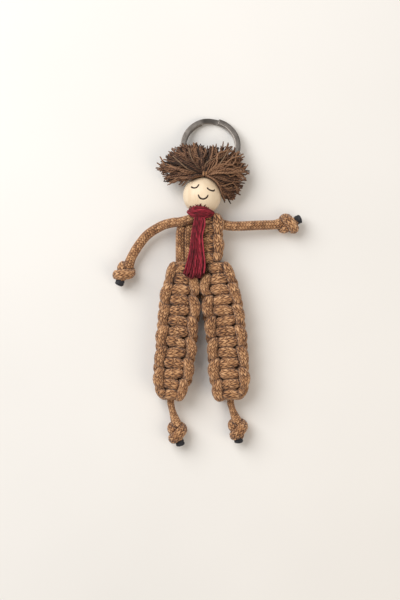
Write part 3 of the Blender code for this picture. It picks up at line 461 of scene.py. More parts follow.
def smooth_path(rows, steps):
    """A Catmull-Rom curve through rows of numbers, with that many steps between neighbours."""
    rows = np.array(rows, float)
    rows = np.vstack([2 * rows[0] - rows[1], rows, 2 * rows[-1] - rows[-2]])
    share = (np.arange(steps) / steps)[:, None]
    before, start, end, after = (rows[first:len(rows) - 3 + first, None] for first in range(4))
    curve = 0.5 * (2 * start + (end - before) * share
                   + (2 * before - 5 * start + 4 * end - after) * share ** 2
                   + (3 * start - before - 3 * end + after) * share ** 3)
    return np.vstack([curve.reshape(-1, rows.shape[1]), rows[-2:-1]])


def travelled(rows):
    """The distance along a route at each of its points."""
    return np.r_[0, np.cumsum(np.linalg.norm(np.diff(rows[:, :3], axis=0), axis=1))]


def evenly(rows, step):
    """The same route with points at equal distances along it."""
    along = travelled(rows)
    even = np.linspace(0, along[-1], max(int(along[-1] / step), 2) + 1)
    return np.column_stack([np.interp(even, along, column) for column in rows.T])


def turns(count):
    """Even angles round a full turn."""
    return np.linspace(0, 2 * math.pi, count, endpoint=False)


def unit(vectors):
    """The same directions, each one long."""
    return vectors / np.linalg.norm(vectors, axis=-1, keepdims=True)


def spokes(angles, across, over):
    """Ways out from a line at each angle: the cosine times across plus the sine times over."""
    return np.cos(angles)[:, None] * across[..., None, :] + np.sin(angles)[:, None] * over[..., None, :]


def frames(line):
    """Two directions across a line at each point, carried along it without twist."""
    ahead = unit(np.gradient(line, axis=0))
    across = np.empty_like(line)
    across[0] = unit(np.cross(ahead[0], Z_WAY if abs(ahead[0, 2]) < 0.9 else Y_WAY))
    for place in range(1, len(line)):
        carried = across[place - 1] - ahead[place] * np.dot(across[place - 1], ahead[place])
        across[place] = carried / np.linalg.norm(carried)
    return across, np.cross(ahead, across)


class Skin:
    """Tubes joined into one mesh.  Each is a grid of rings of points, closed at its ends by fans."""

    def __init__(self):
        self.points = []
        self.faces = []
        self.tones_and_shades = []
        self.count = 0

    def add(self, grid, along, tone_and_shade=0.0, looped=False):
        """Adds a tube: a grid of rings by sides, the millimetres along it at each ring and how much darker it
        is, by its own tone and by painted shading and light.  A looped tube's last ring joins its first."""
        rings, sides = grid.shape[:2]
        base = self.count
        turn = np.arange(sides)
        after = (turn + 1) % sides
        first = np.arange(rings if looped else rings - 1)[:, None]
        second = (first + 1) % rings
        quads = np.stack([first * sides + turn, first * sides + after,
                          second * sides + after, second * sides + turn], axis=-1)
        u_one = np.broadcast_to(turn / sides, quads.shape[:2])
        u_two = u_one + 1 / sides
        ahead = np.append(along[1:], 2 * along[-1] - along[-2])
        v_one, v_two = (np.broadcast_to(v[:len(first), None], quads.shape[:2]) for v in (along, ahead))
        uv = np.stack([u_one, v_one, u_two, v_one, u_two, v_two, u_one, v_two], axis=-1)
        self.faces.append((quads.reshape(-1, 4) + base, uv.reshape(-1, 4, 2)))
        self.points.append(grid.reshape(-1, 3))
        tone_and_shade = np.broadcast_to(tone_and_shade, (rings, sides))
        self.tones_and_shades.append(tone_and_shade.ravel())
        self.count += rings * sides
        for end, one, two in () if looped else ((0, after, turn), (rings - 1, turn, after)):
            edge = base + end * sides
            fan = np.column_stack([np.full(sides, self.count), edge + one, edge + two])
            place = np.full((sides, 3, 2), along[end])
            place[:, :, 0] = (turn / sides)[:, None]
            self.faces.append((fan, place))
            self.points.append(grid[end].mean(axis=0)[None])
            self.tones_and_shades.append(tone_and_shade[end].mean(keepdims=True))
            self.count += 1
        return self

    def piece(self, name, material, body, slot, cad=None):
        """Makes the object, which rides on a body, takes a finish and may stand for a CAD node.  The slot is
        not used.
        """
        points = (np.vstack(self.points) + SHIFT) * MM
        sizes = np.concatenate([np.full(len(faces), faces.shape[1]) for faces, _ in self.faces])
        corners = np.concatenate([faces.ravel() for faces, _ in self.faces])
        places = np.concatenate([uv.reshape(-1, 2) for _, uv in self.faces]) / (1, UV_MM)
        mesh = bpy.data.meshes.new(name)
        mesh.vertices.add(len(points))
        mesh.vertices.foreach_set("co", points.ravel())
        mesh.loops.add(len(corners))
        mesh.loops.foreach_set("vertex_index", corners)
        mesh.polygons.add(len(sizes))
        mesh.polygons.foreach_set("loop_start", np.cumsum(sizes) - sizes)
        mesh.polygons.foreach_set("use_smooth", np.ones(len(sizes), bool))
        mesh.update(calc_edges=True)
        mesh.validate()
        mesh.uv_layers.new(name="along").data.foreach_set("uv", places.ravel())
        # the attribute keeps each point's own tone and its painted shading and light
        tone_and_shade = mesh.attributes.new("tone_and_shade", "FLOAT", "POINT")
        tone_and_shade.data.foreach_set("value", np.concatenate(self.tones_and_shades))
        mesh.materials.append(material)
        item = bpy.data.objects.new(name, mesh)
        bpy.context.scene.collection.objects.link(item)
        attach(item, body)
        if cad:
            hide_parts(cad)


def round_tube(line, radius, sides, lobes=0, depth=0.0, pitch=4.0):
    """A tube round a line.  With lobes its section is that many plies: the radius grows by the size of a
    cosine that runs round it, and moves on by one ply in each pitch."""
    along = np.arange(len(line)) * np.linalg.norm(line[1] - line[0])
    angles = turns(sides)
    wide = np.broadcast_to(np.asarray(radius, float).reshape(-1, 1), (len(line), sides))
    if lobes:
        wind = lobes * (angles[None] + 2 * math.pi * along[:, None] / (pitch * lobes))
        wide = wide * (1 + depth * np.abs(np.cos(wind / 2)) - depth / 2)
    return line[:, None] + wide[..., None] * spokes(angles, *frames(line)), along


def stitch_height(turn_share, along):
    """Height from 0 to 1 of knitted stitches: plaits side by side, each a column of V ridges.

    It is the sine of the place along the stitch, less towards the plait's edges, where the stitch's
    place runs ahead by its slant."""
    plait = turn_share * PLAITS
    across = np.abs(2 * (plait % 1) - 1)
    phase = (along / STITCH + STITCH_SLANT * across + PLAIT_SHIFT * np.floor(plait)) % 1
    return np.sin(math.pi * phase) * (1 - STITCH_FADE * across ** 2)


def cord_rows(rows, fuller=FULLER, wander=0.0):
    """Rows of x, y, z and packed radius as an even route, with a fifth column for the cord's full radius.

    A route may wander a little, as hand-tied cord does: three slow sines of unlike length are added to
    each of its places, and a fourth to its fullness."""
    route = evenly(smooth_path(rows, PATH_STEPS), RING_STEP)
    along = np.arange(len(route))[:, None, None] * RING_STEP
    waves = np.sin(along / WAVES + HAND.uniform(0, 6.28, (4, 3))).sum(axis=2) / 3
    most = FULLEST + max(fuller - FULLER, 0)
    full = np.minimum(FULLER_SHARE * route[:, 3] + fuller, most) * (1 + 0.5 * wander * waves[:, 3])
    route[:, :3] += wander * waves[:, :3]
    return np.column_stack([route, full])


def lengthened(points, by):
    """A route carried straight on past its last point."""
    last, before = np.array(points[-1], float), np.array(points[-2], float)
    last[:3] += unit((last - before)[:3]) * by
    return np.vstack([points, last])


def rounded(route):
    """Rounds a cord's two ends: within a radius of an end the cord narrows as a circle does."""
    along = np.arange(len(route)) * RING_STEP
    for column in (3, 4):
        radius = route[:, column].copy()
        for away in (along, along[-1] - along):
            inside = np.clip(away / radius, 0, 1)
            route[:, column] *= np.sqrt(np.clip(1 - (1 - inside) ** 2, 0.02, 1))
    return route


def swell(cords):
    """The reach of each cord's rings when soft cords fill the room between them.

    A point on a cord goes out along its ray to the full radius, and comes back while it is further outside
    its own packed tube than it is outside a neighbour's.  A neighbour is any other cord, or the same cord
    further along.  The rings and rays are coarse, and are then filled in between."""
    picks = [np.linspace(0, len(cord) - 1, len(cord) // COARSE + 2).round().astype(int) for cord in cords]
    centres = np.vstack([cord[pick, :3] for cord, pick in zip(cords, picks)])
    packed = np.concatenate([cord[pick, 3] for cord, pick in zip(cords, picks)])
    owner = np.concatenate([np.full(len(pick), mine) for mine, pick in enumerate(picks)])
    along = np.concatenate(picks) * RING_STEP
    angles = turns(SIDES // 2)
    reaches = []
    for mine, (cord, pick) in enumerate(zip(cords, picks)):
        across, over = frames(cord[:, :3])
        ways = spokes(angles, across[pick], over[pick])
        centre = cord[pick, :3]
        own = cord[pick, 3:4]
        away = np.linalg.norm(centre[:, None] - centres[None], axis=2) - packed[None]
        kin = (owner[None] == mine) & (np.abs(pick[:, None] * RING_STEP - along[None]) < SELF_APART)
        away[kin] = np.inf
        near = np.argsort(away, axis=1)[:, :NEAREST]
        foreign = centres[near][:, None]
        foreign_radius = np.where(np.isinf(np.take_along_axis(away, near, axis=1)), -99.0, packed[near])
        reach = np.repeat(cord[pick, 4:5], len(angles), axis=1)
        for _ in range(12):
            point = (centre[:, None] + reach[..., None] * ways)[:, :, None]
            depth = (np.linalg.norm(point - foreign, axis=3) - foreign_radius[:, None]).min(axis=2)
            excess = (reach - own) - depth
            reach = np.maximum(reach - 0.5 * np.clip(excess, 0, None), 0.3 * own)
        reach = (np.roll(reach, 1, axis=1) + 2 * reach + np.roll(reach, -1, axis=1)) / 4
        place = np.interp(np.arange(len(cord)), pick, np.arange(len(pick)))
        start = np.minimum(place.astype(int), len(pick) - 2)
        share = (place - start)[:, None]
        filled = reach[start] * (1 - share) + reach[start + 1] * share
        both = np.empty((len(cord), SIDES))
        both[:, ::2] = filled
        both[:, 1::2] = (filled + np.roll(filled, -1, axis=1)) / 2
        reaches.append(both)
    return reaches


def cord_grid(cord, reach):
    """Points round a cord at its reach with knitted relief, flattened where the cord lies on the table,
    its length at each ring, and its painted shading: darker where a neighbour presses the cord in, for
    the crease between them."""
    turn = np.arange(SIDES) / SIDES
    along = np.arange(len(cord)) * RING_STEP
    # painted shading: the cord is darker where a neighbour presses it in, as the crease between them lies in
    # shadow
    crease_shade = np.clip(1 - reach / np.maximum(cord[:, 4:5], 0.5), 0, 1)
    relief = RELIEF * (stitch_height(turn[None], along[:, None]) - 0.6)
    reach = reach + relief * np.clip(reach / 1.5, 0, 1)
    grid = cord[:, None, :3] + reach[..., None] * spokes(2 * math.pi * turn, *frames(cord[:, :3]))
    grid[..., 2] = np.maximum(grid[..., 2], TABLE_GAP)
    return grid, along, crease_shade ** 0.75


class SquareKnots:
    """The front cord, back cord and fillers of a chain of square knots, as rows of across, along, deep and
    radius.  The front cord crosses the front in each half knot, and the back cord the back, and they
    squeeze past each other beside the fillers.  Each half knot is tied a little unevenly: its bar has its
    own tilt, arch and size, and its bump its own place and size."""

    def __init__(self, half_knots, tight, pitch, first_side, last_run):
        self.pitch = pitch
        self.last_run = last_run
        self.filler, self.bar, self.bump, self.run, self.squeezed = (
            size * tight / 2 for size in (FILLER, BAR, BUMP, SIDE_RUN, SQUEEZED))
        self.filler_across = self.filler + CORD_GAP * tight / 2
        self.edge = SENNIT_WIDTH * tight / 2 - self.run
        self.inside = self.filler_across + self.filler + (CORD_GAP + SIDE_LIFT) * tight + self.squeezed
        self.deep = self.filler + (CORD_GAP + BAR_LIFT) * tight + self.bar
        self.crown = BAR_CROWN * tight
        self.length = self.pitch * (half_knots - 1)
        self.sides = [first_side * (-1) ** knot for knot in range(half_knots)]
        self.uneven = HAND.uniform(-1, 1, (half_knots, 4))

    def front_cord(self):
        """A bar across the front in each half knot, then a run down the side where it came out."""
        pitch, edge, deep, bar, squeezed = self.pitch, self.edge, self.deep, self.bar, self.squeezed
        dip, slant = 0.207 * pitch, 0.058 * pitch
        squeeze, squeeze_deep = 0.736 * edge, 0.09 * deep
        across, slimmer = 0.525 * self.inside, 0.88 * bar
        rows = [(-self.sides[0] * 0.88 * edge, -0.28 * pitch, 0, self.run)]
        for knot, side in enumerate(self.sides):
            down = knot * pitch
            tilt, arch, fat, _ = self.uneven[knot]
            turned = slant + 0.05 * tilt * pitch
            lift = (0.06 + 0.04 * arch) * pitch
            size = 1 + 0.06 * fat
            rows += [
                (-side * squeeze, down + dip, squeeze_deep, squeezed),
                (-side * across, down + turned, deep, slimmer * size),
                (0, down - lift, deep + self.crown, bar * size),
                (side * across, down - turned, deep, slimmer * size),
                (side * squeeze, down - dip, squeeze_deep, squeezed),
                (side * edge, down + pitch / 2, 0, self.run),
            ]
        rows[-1] = (side * 0.9 * edge, down + self.last_run, 0, self.run)
        return rows

    def back_cord(self):
        """A bar across the back in each half knot, then a bump that comes up in front at the other side."""
        pitch, edge, deep, bar, squeezed = self.pitch, self.edge, self.deep, self.bar, self.squeezed
        dive, slant = 0.268 * pitch, 0.058 * pitch
        across, slimmer = 0.55 * edge, 0.95 * bar
        start_across, end_across, bump_across = 0.80 * edge, 0.92 * edge, 0.93 * edge
        end_along, end_deep = 0.136 * pitch, 1.188 * deep
        end_radius = (self.bump + squeezed) / 2
        rows = []
        for knot, side in enumerate(self.sides):
            down = knot * pitch
            shift, size = 1 + 0.05 * self.uneven[knot, 3], 1 + 0.07 * self.uneven[knot, 2]
            rows += [
                (side * self.inside, down + dive, 0, squeezed),
                (side * across, down + slant, -deep, slimmer),
                (0, down, -deep, bar),
                (-side * across, down - slant, -deep, slimmer),
                (-side * self.inside, down - dive, 0, squeezed),
                (-side * start_across, down - end_along, end_deep, end_radius),
                (-side * bump_across * shift, down + pitch / 2, end_deep, self.bump * size),
                (-side * end_across, down + pitch + end_along, end_deep, end_radius),
            ]
        rows[-2] = (-side * bump_across, down + self.last_run, end_deep, self.bump)
        return rows[:-1]

    def filler_cord(self, side, before, after):
        """A straight cord inside the knots, which begins before them and goes on after them."""
        return [(side * self.filler_across, step, 0, self.filler)
                for step in np.linspace(-before, self.length + after, 10)]


def make_cords(body, named):
    """Makes soft cords that press on one another.  Each has a name, its route and the CAD node that it
    stands for, if any."""
    cords = [rounded(route) for _, route, _ in named]
    for (name, _, cad), cord, reach in zip(named, cords, swell(cords)):
        Skin().add(*cord_grid(cord, reach)).piece(name, CORD, body, "tan_cord", cad)


def make_leg(side, leg):
    """A leg's square knots, the short end that comes out below them, and the foot.

    The chain's axis leans evenly and bows as a parabola.  Each side of the chain is wider or narrower by a
    bell curve of the distance down: the outer side is hollow at the top, the inner side is fuller at its
    fullest place, and both taper at the bottom."""
    knots = SquareKnots(LEG_HALF_KNOTS, 1.0, PITCH, leg["first_side"], 0.02 * PITCH)
    slope = math.atan2(leg["lean"], knots.length)

    def bell(down, middle, run):
        return np.exp(-((down - middle) / run) ** 2)

    def place(rows):
        across, down, deep, radius = np.array(rows, float).T
        share = down / knots.length
        middle = leg["hip_x"] - leg["lean"] * share + leg["bow"] * 4 * share * (1 - share)
        across = across * np.where(
            across * leg["outer"] > 0, 1 - leg["hollow"] * bell(down, -LEG_HEAD, HOLLOW_RUN),
            1 + INNER_FULLER * bell(down, leg["fullest"], INNER_RUN))
        across = across * (1 - leg["taper"] * bell(down, knots.length + 2.0, TAPER_RUN))
        x = middle + across * math.cos(slope)
        y = HIP_Y - LEG_HEAD - down - across * math.sin(slope)
        return cord_rows(np.column_stack([x, y, LEG_RISE + deep, radius]), FULLER, LEG_WANDER)

    make_cords(f"{side}_leg", [
        (f"{side}_leg_{name}", place(rows), f"{side}_leg_{cad}") for name, rows, cad in (
            ("front", knots.front_cord(), "front_cord"),
            ("back", knots.back_cord(), "back_cord"),
            ("core_left", knots.filler_cord(-1, LEG_HEAD, LEG_FOOT), "filler_left"),
            ("core_right", knots.filler_cord(1, LEG_HEAD, LEG_FOOT), "filler_right"))])
    ankle_y = HIP_Y - LEG_HEAD - knots.length - LEG_FOOT - GAP - ANKLE / 2
    ankle = np.array([leg["hip_x"] - leg["lean"], ankle_y, ANKLE_RISE])
    end = [(*(ankle + above), ANKLE / 2) for above in ((0, 8.0, 1.0), (0, 4.0, 0.6), (0, 0, 0))]
    end = cord_rows(lengthened(end, ANKLE_FULL), ANKLE_FULL - FULLER_SHARE * ANKLE / 2)
    make_cords(f"{side}_leg", [(f"{side}_leg_end", end, None)])
    shin = ankle + 0.3 * (np.array([*leg["foot"], ANKLE_RISE]) - ankle)
    make_limb(f"{side}_foot", f"{side}_ankle_cord", f"{side}_foot_tip", [ankle, shin], ANKLE, ANKLE_FULL,
              leg["foot"], leg["tip_turned"])


def make_torso():
    """Square knots in front, the core cords up into the bead, the two cords at the left and the ends of
    the arms."""
    knots = SquareKnots(TORSO_HALF_KNOTS, TORSO_TIGHT, TORSO_PITCH, -1, 0.45 * PITCH * TORSO_TIGHT)
    knots.bump = TORSO_BUMP
    knots.edge = TORSO_EDGE

    def place(rows):
        across, down, deep, radius = np.array(rows, float).T
        rows = np.column_stack([TORSO_X + across, TORSO_TOP - down, TORSO_RISE + deep, radius])
        return cord_rows(rows, TORSO_FULLER, WANDER)

    named = [
        ("torso_front", place(knots.front_cord()), "torso_front_cord"),
        ("torso_back", place(knots.back_cord()), "torso_back_cord"),
    ]
    aside = CORE_THIN + GAP / 2
    for side, word in ((-1, "left"), (1, "right")):
        core_x = TORSO_X + side * knots.filler_across
        route = evenly(smooth_path([
            (BEAD[0] + side * aside, LOOP_PIVOT[1] - LOOP_KNOT / 2 - GAP - CORE_THIN, BEAD[2], CORE_THIN),
            (BEAD[0] + side * aside, BEAD[1], BEAD[2], CORE_THIN),
            (BEAD[0] + side * (aside + GAP), BEAD[1] - BEAD_RADIUS, BEAD[2], CORE_THIN),
            (core_x, TORSO_TOP + knots.pitch / 3, TORSO_RISE, CORE_THIN),
            (core_x, TORSO_TOP - knots.pitch / 3, TORSO_RISE, knots.filler),
            (core_x, TORSO_TOP - knots.length - 10, TORSO_RISE - 0.9, knots.filler),
        ], PATH_STEPS), RING_STEP)
        in_bore = np.clip((route[:, 1] - 33.0) / 2, 0, 1)
        full = (FULLER_SHARE * route[:, 3] + FULLER) * (1 - in_bore) + route[:, 3] * in_bore
        named.append((f"core_{word}", np.column_stack([route, full]), f"core_cord_{word}"))
    top = LEFT_SHOULDER[1]
    for word, x, shoulder, end in (
        ("inner", SIDE_CORD_X, (0.3, -3.4, -0.4), (1.2, 0.8, -1.8)),
        ("outer", SIDE_CORD_X - SIDE_CORD - 0.2, (0.3, -4.6, -0.3), (1.3, -0.4, -2.4)),
    ):
        rows = [(x, HIP_Y - 6.0, 6.6), (x, HIP_Y + 3, TORSO_RISE), (x, top - 8, TORSO_RISE)]
        rows += [(x + right, top + up, TORSO_RISE + over) for right, up, over in (shoulder, end)]
        rows = [(*row, SIDE_CORD / 2) for row in rows]
        named.append((f"side_{word}", cord_rows(rows, SIDE_FULLER), f"side_cord_{word}"))
    for word, rows in (
        ("left", [(-5.6, 35.0, 8.8, 2.0), (-9.0, 34.4, 9.4, 2.1), (-12.6, 33.1, 9.1, ARM / 2),
                  (*LEFT_SHOULDER, ARM / 2)]),
        ("right", [(3.6, 32.4, 8.4, 2.0), (6.8, 31.0, 8.6, ARM / 2), (*RIGHT_SHOULDER, ARM / 2)]),
    ):
        named.append((f"{word}_shoulder_cord", cord_rows(lengthened(rows, ARM_FULL), ARM_FULLER), None))
    make_cords("torso", named)


def knot_place(centre, wrist):
    """Where an overhand knot stands, the way it runs and its centre line there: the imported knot's, shrunk,
    turned by KNOT_TURN about the way it runs, and raised until its cord clears the table."""
    line = KNOT_HALF * KNOT_SHRINK
    line = np.vstack([line, line[::-1] * (-1, 1, -1)])
    across = math.sin(KNOT_TURN) * KNOT_HALF[:, 0] + math.cos(KNOT_TURN) * KNOT_HALF[:, 1]
    middle = np.array([*centre, np.abs(across).max() + KNOT_CORD / 2 + GAP])
    onward = unit(middle - wrist)
    side = unit(np.cross(onward, Z_WAY))
    up = np.cross(side, onward)
    spin = math.cos(KNOT_TURN) * line[:, 0] - math.sin(KNOT_TURN) * line[:, 1]
    over = math.sin(KNOT_TURN) * line[:, 0] + math.cos(KNOT_TURN) * line[:, 1]
    return middle, onward, middle + spin[:, None] * side + over[:, None] * up + line[:, 2:] * onward


def make_limb(name, cad, tip_cad, route, cord, full, centre, tip_turned):
    """A limb's cord, which ends in an overhand knot, and the dark seal on the cord's end, turned by some
    degrees from above.  The limb rides on the body of its own name.  It starts one radius before its
    joint, so that its round root turns inside the end that it meets."""
    middle, onward, knot = knot_place(centre, np.array(route[-1], float))
    cosine, sine = math.cos(math.radians(tip_turned)), math.sin(math.radians(tip_turned))
    onward = np.array([
        onward[0] * cosine - onward[1] * sine, onward[0] * sine + onward[1] * cosine, onward[2]])
    seal = middle + onward * (KNOT_HALF[:, 2].max() + KNOT_CORD / 2)
    rows = [(*point, cord / 2, full) for point in lengthened(route[::-1], full)[::-1]]
    rows += [(*point, KNOT_PACKED, KNOT_FULL) for point in knot]
    rows += [(*(seal - onward * 0.4), KNOT_PACKED, 1.8), (*(seal + onward * 1.2), KNOT_PACKED, 1.7)]
    cord = rounded(evenly(smooth_path(rows, 10), RING_STEP))
    Skin().add(*cord_grid(cord, swell([cord])[0])).piece(name, CORD, name, "tan_cord", cad)
    make_seal(f"{name}_seal", seal, onward, name, tip_cad)


def make_seal(name, place, onward, body, cad):
    """A melted and dipped cord end: a turned form, radius against length, with soft dents.  Its radius is
    larger or smaller by two sines of three and seven times the angle, which wind along it."""
    fine = smooth_path(SEAL_PROFILE, 5)
    length, radius = fine[:, :1], np.abs(fine[:, 1:2])
    angles = turns(28)
    dents = 1 + 0.035 * np.sin(3 * angles[None] + 2 * length) + 0.02 * np.sin(7 * angles[None] + 5 * length)
    across = unit(np.cross(onward, Z_WAY))
    ways = spokes(angles, across, np.cross(onward, across))
    start = place - onward * 0.2
    grid = (start + length[:, None] * onward) + (radius * dents)[..., None] * ways[None]
    Skin().add(grid, fine[:, 0]).piece(name, SEAL, body, "black_seal", cad)


def make_bead():
    """A ball with a bore along Y: radius sqrt(R^2 - y^2) outside, a quarter circle at each of the two
    mouths, and one radius inside."""
    lip = BORE_RADIUS + BORE_EASE
    mouth = math.asin(lip / BEAD_RADIUS)
    angle = np.linspace(mouth, math.pi - mouth, 64)
    outside = np.column_stack([BEAD_RADIUS * np.cos(angle), BEAD_RADIUS * np.sin(angle)])
    wall = outside[0, 0]
    ease = np.linspace(0, math.pi / 2, 6)[1:]
    lower = np.column_stack([-wall + BORE_EASE * (1 - np.cos(ease)), lip - BORE_EASE * np.sin(ease)])
    inside = np.column_stack([np.linspace(-wall + 1, wall - 1, 12), np.full(12, BORE_RADIUS)])
    profile = np.vstack([outside, lower, inside, lower[::-1] * (-1, 1)])
    grid = BEAD + profile[:, None, :1] * Y_WAY + profile[:, None, 1:] * spokes(turns(96), X_WAY, Z_WAY)
    Skin().add(grid, profile[:, 0], looped=True).piece("bead", WOOD, "head", "pale_wood", "head_bead")


def make_face():
    """Two closed eyes and a smile.  Each line is carried on to the ball, z = sqrt(R^2 - x^2 - y^2), and
    is a low ridge of ink with an ellipse for its section, which narrows at its two ends."""
    for name, points in FACE_LINES.items():
        flat = evenly(smooth_path(points, 10), 0.12)
        rise = np.sqrt(BEAD_RADIUS ** 2 - ((flat - BEAD[:2]) ** 2).sum(axis=1))
        line = np.column_stack([flat, BEAD[2] + rise])
        normal = (line - BEAD) / BEAD_RADIUS
        aside = np.cross(normal, unit(np.gradient(line, axis=0)))
        share = np.linspace(0, 1, len(line))
        wide = LINE_WIDE * np.sqrt(np.clip(1 - (2 * share - 1) ** 8, 0.05, 1))
        grid = line[:, None] + spokes(turns(12), wide[:, None] * aside, LINE_HIGH * normal)
        Skin().add(grid, share * 4).piece(name, INK, "head", "pale_wood")


def make_ring():
    """Flat wire in two turns: a rounded rectangle carried round a circle.

    Its height goes from the lower layer to the upper one as a smooth step (3 t^2 - 2 t^3), and its radius
    grows with the step.  The section's width and thickness are a power of the cosine and of the sine."""
    layer = (RING_LAYER + RING_LAYER_GAP) / 2
    angles = np.linspace(0, 4 * math.pi - RING_STEP_ANGLE - RING_SHORT, 420)
    climb = np.clip((angles - 2 * math.pi + RING_STEP_ANGLE) / RING_STEP_ANGLE, 0, 1)
    height = -layer + 2 * layer * climb ** 2 * (3 - 2 * climb)
    place = (angles + RING_STEP_PLACE)[:, None]
    turn = turns(40)
    wide = np.sign(np.cos(turn)) * np.abs(np.cos(turn)) ** RING_CORNER * RING_BAND / 2
    thick = np.sign(np.sin(turn)) * np.abs(np.sin(turn)) ** RING_CORNER * RING_LAYER / 2
    radius = RING_MEAN - wide + (2 * RING_SPIRAL * climb - RING_SPIRAL)[:, None]
    y, z = np.sin(place) * radius, height[:, None] + thick
    cosine, sine = math.cos(RING_TILT), math.sin(RING_TILT)
    grid = np.stack([np.cos(place) * radius, y * cosine - z * sine, y * sine + z * cosine], axis=-1)
    skin = Skin().add(grid + RING_CENTRE, angles * RING_MEAN)
    skin.piece("split_ring", STEEL, "ring", "steel", "key_ring")


def cord_eye(centre, middle, radius, sides):
    """A closed ring of cord: round each point of its centre line, the radius times the cosine on the way
    out from the middle and times the sine along X."""
    ways = spokes(turns(sides), unit(centre - middle), X_WAY)
    return (centre[:, None] + np.asarray(radius)[..., None] * ways)[:, ::-1]


def make_loop():
    """A thin cord eye round the wire, in the plane of Y and Z, and its small knot in the bead's mouth:
    two turns of a coil that rises and falls by half a sine."""
    turn = turns(90)
    eye = WIRE_HALF + GAP + LOOP_CORD / 2
    centre = WIRE_PLACE + eye * spokes(turn, Y_WAY, Z_WAY)
    along = turn * eye
    radius = LOOP_CORD / 2 * (1 + 0.08 * np.cos(4 * turns(16)[None] + along[:, None] * 4))
    skin = Skin().add(cord_eye(centre, WIRE_PLACE, radius, 16), along, looped=True)
    wind = np.linspace(0, 4 * math.pi, 60)
    knot = LOOP_PIVOT + np.column_stack([0.75 * np.cos(wind), 0.35 * np.sin(wind / 2), 0.75 * np.sin(wind)])
    skin.add(*round_tube(knot, 0.72, 12))
    skin.piece("ring_loop", THIN_CORD, "loop", "tan_cord", "hanging_loop")


def strand_tubes(lines, radii, sides):
    """Tubes round many lines at once, each with a section that lies across it and the vertical."""
    ahead = unit(np.gradient(lines, axis=1))
    across = unit(np.cross(ahead, Z_WAY))
    ways = spokes(turns(sides), across, np.cross(ahead, across))
    return lines[:, :, None] + radii[:, :, None, None] * ways


def fan_lines(fan, draw):
    """Centre lines of a fan's strands, in locks, and how dark each strand is along itself: a random tone of
    its own and of its lock, painted shading on the lower layers and near the root, and the fan's painted
    light, which makes it lighter.

    A strand goes out from the root at its lock's angle, more or less, bends with its lock and waves by a
    sine.  Its height is that of its layer, plus half a sine that lifts it in the middle, less the square
    of its share of the way.  It is pushed out where it would cross the bead's outline."""
    count, locks = fan["strands"], fan["locks"]
    angles = np.array(fan["angles"], float)
    lock = np.arange(count) % locks
    middle = (np.arange(locks) + draw.uniform(0.35, 0.65, locks)) / locks
    spread = draw.normal(0, 0.5, count) / locks
    angle = angles[0] + (angles[-1] - angles[0]) * np.clip(middle[lock] + spread, 0, 1)
    reach = np.interp(angle, angles, fan["reach"])
    reach = reach * (1 - 0.10 * draw.uniform(0, 1, locks)[lock] - 0.22 * draw.uniform(0, 1, count) ** 2)
    layer = np.clip(draw.uniform(0, 1, locks)[lock] + draw.normal(0, 0.2, count), 0, 1)[:, None]
    bend = np.radians(draw.normal(0, 10, locks)[lock] + draw.normal(0, 7, count))[:, None]
    part = np.linspace(0, 1, 11)[None]
    wave = np.radians(draw.normal(0, 4.5, count))[:, None] * np.sin(
        2 * math.pi * (part * 1.6 + draw.uniform(0, 1, count)[:, None]))
    way = np.radians(angle)[:, None] + bend * (part - 0.4) + wave
    out = part * reach[:, None]
    x = fan["root"][0] + draw.normal(0, 0.6, count)[:, None] + out * np.cos(way)
    y = fan["root"][1] + draw.uniform(-0.4, 1.2, count)[:, None] + out * np.sin(way)
    z = (HAIR_LOW + HAIR_DEEP * layer + (1.4 + 3.0 * layer) * np.sin(math.pi * np.clip(part * 1.15, 0, 1))
         - HAIR_DROOP * part ** 2 + draw.normal(0, 0.35, count)[:, None])
    lines = np.stack([x, y, z], axis=-1)
    off = lines[..., :2] - BEAD[:2]
    push = np.maximum((BEAD_RADIUS + 0.1) / np.linalg.norm(off, axis=-1), 1.0)
    lines[..., :2] = BEAD[:2] + off * push[..., None]
    # Each strand's own tone and its lock's are random; painted shading darkens the lower layers and the part
    # near the root, and the fan's painted light makes it lighter
    own = draw.normal(0, 0.38, count) + np.random.default_rng(count).normal(0, 0.28, locks)[lock]
    return lines, own[:, None] + 0.35 * (0.5 - layer) + 0.3 * (0.6 - part) - fan["painted_light"]


def make_hair():
    """Two fans of cut yarn and a few loose strands of lighter yarn."""
    draw = np.random.default_rng(HAIR_SEED)
    for side, fan in FANS.items():
        lines, tones_and_shades = fan_lines(fan, draw)
        thick = HAIR_RADIUS * draw.uniform(0.8, 1.25, len(lines))[:, None]
        grids = strand_tubes(lines, thick * np.array([1.0] * 9 + [0.98, 0.7])[None], 7)
        skin = Skin()
        for grid, tone_and_shade, start in zip(grids, tones_and_shades, draw.uniform(0, 9, len(lines))):
            skin.add(grid, start + np.linspace(0, 1, len(grid)) * 20, tone_and_shade[:, None])
        skin.piece(f"hair_fan_{side}", HAIR, "torso", "dark_yarn", f"hair_{side}")
    skin = Skin()
    for points in LOOSE_STRANDS:
        skin.add(*round_tube(evenly(smooth_path(points, 12), 0.6), 0.34, 8, 2, 0.2, 2.6))
    skin.piece("hair_loose", LOOSE_HAIR, "torso", "dark_yarn")


def make_hair_tie():
    """Two turns of thin cord round the waist between the fans, each an ellipse that leans a little."""
    skin = Skin()
    turn = turns(60)
    for x in (-3.6, -2.2):
        middle = np.array([x, *HAIR_TIE])
        centre = middle + np.column_stack([0.25 * np.sin(turn), 1.2 * np.cos(turn), 2.2 * np.sin(turn)])
        skin.add(cord_eye(centre, middle, 0.55, 12), turn * 2.6, looped=True)
    skin.piece("hair_binding", THIN_CORD, "torso", "tan_cord", "hair_tie")


def wisp(root, way, lift, steps, step, radius):
    """A loose fibre: a thin tube from its root, which rises a little in the middle."""
    return round_tube(
        evenly(smooth_path([root, root + way * 0.5 + (0, 0, lift), root + way], steps), step), radius, 5)


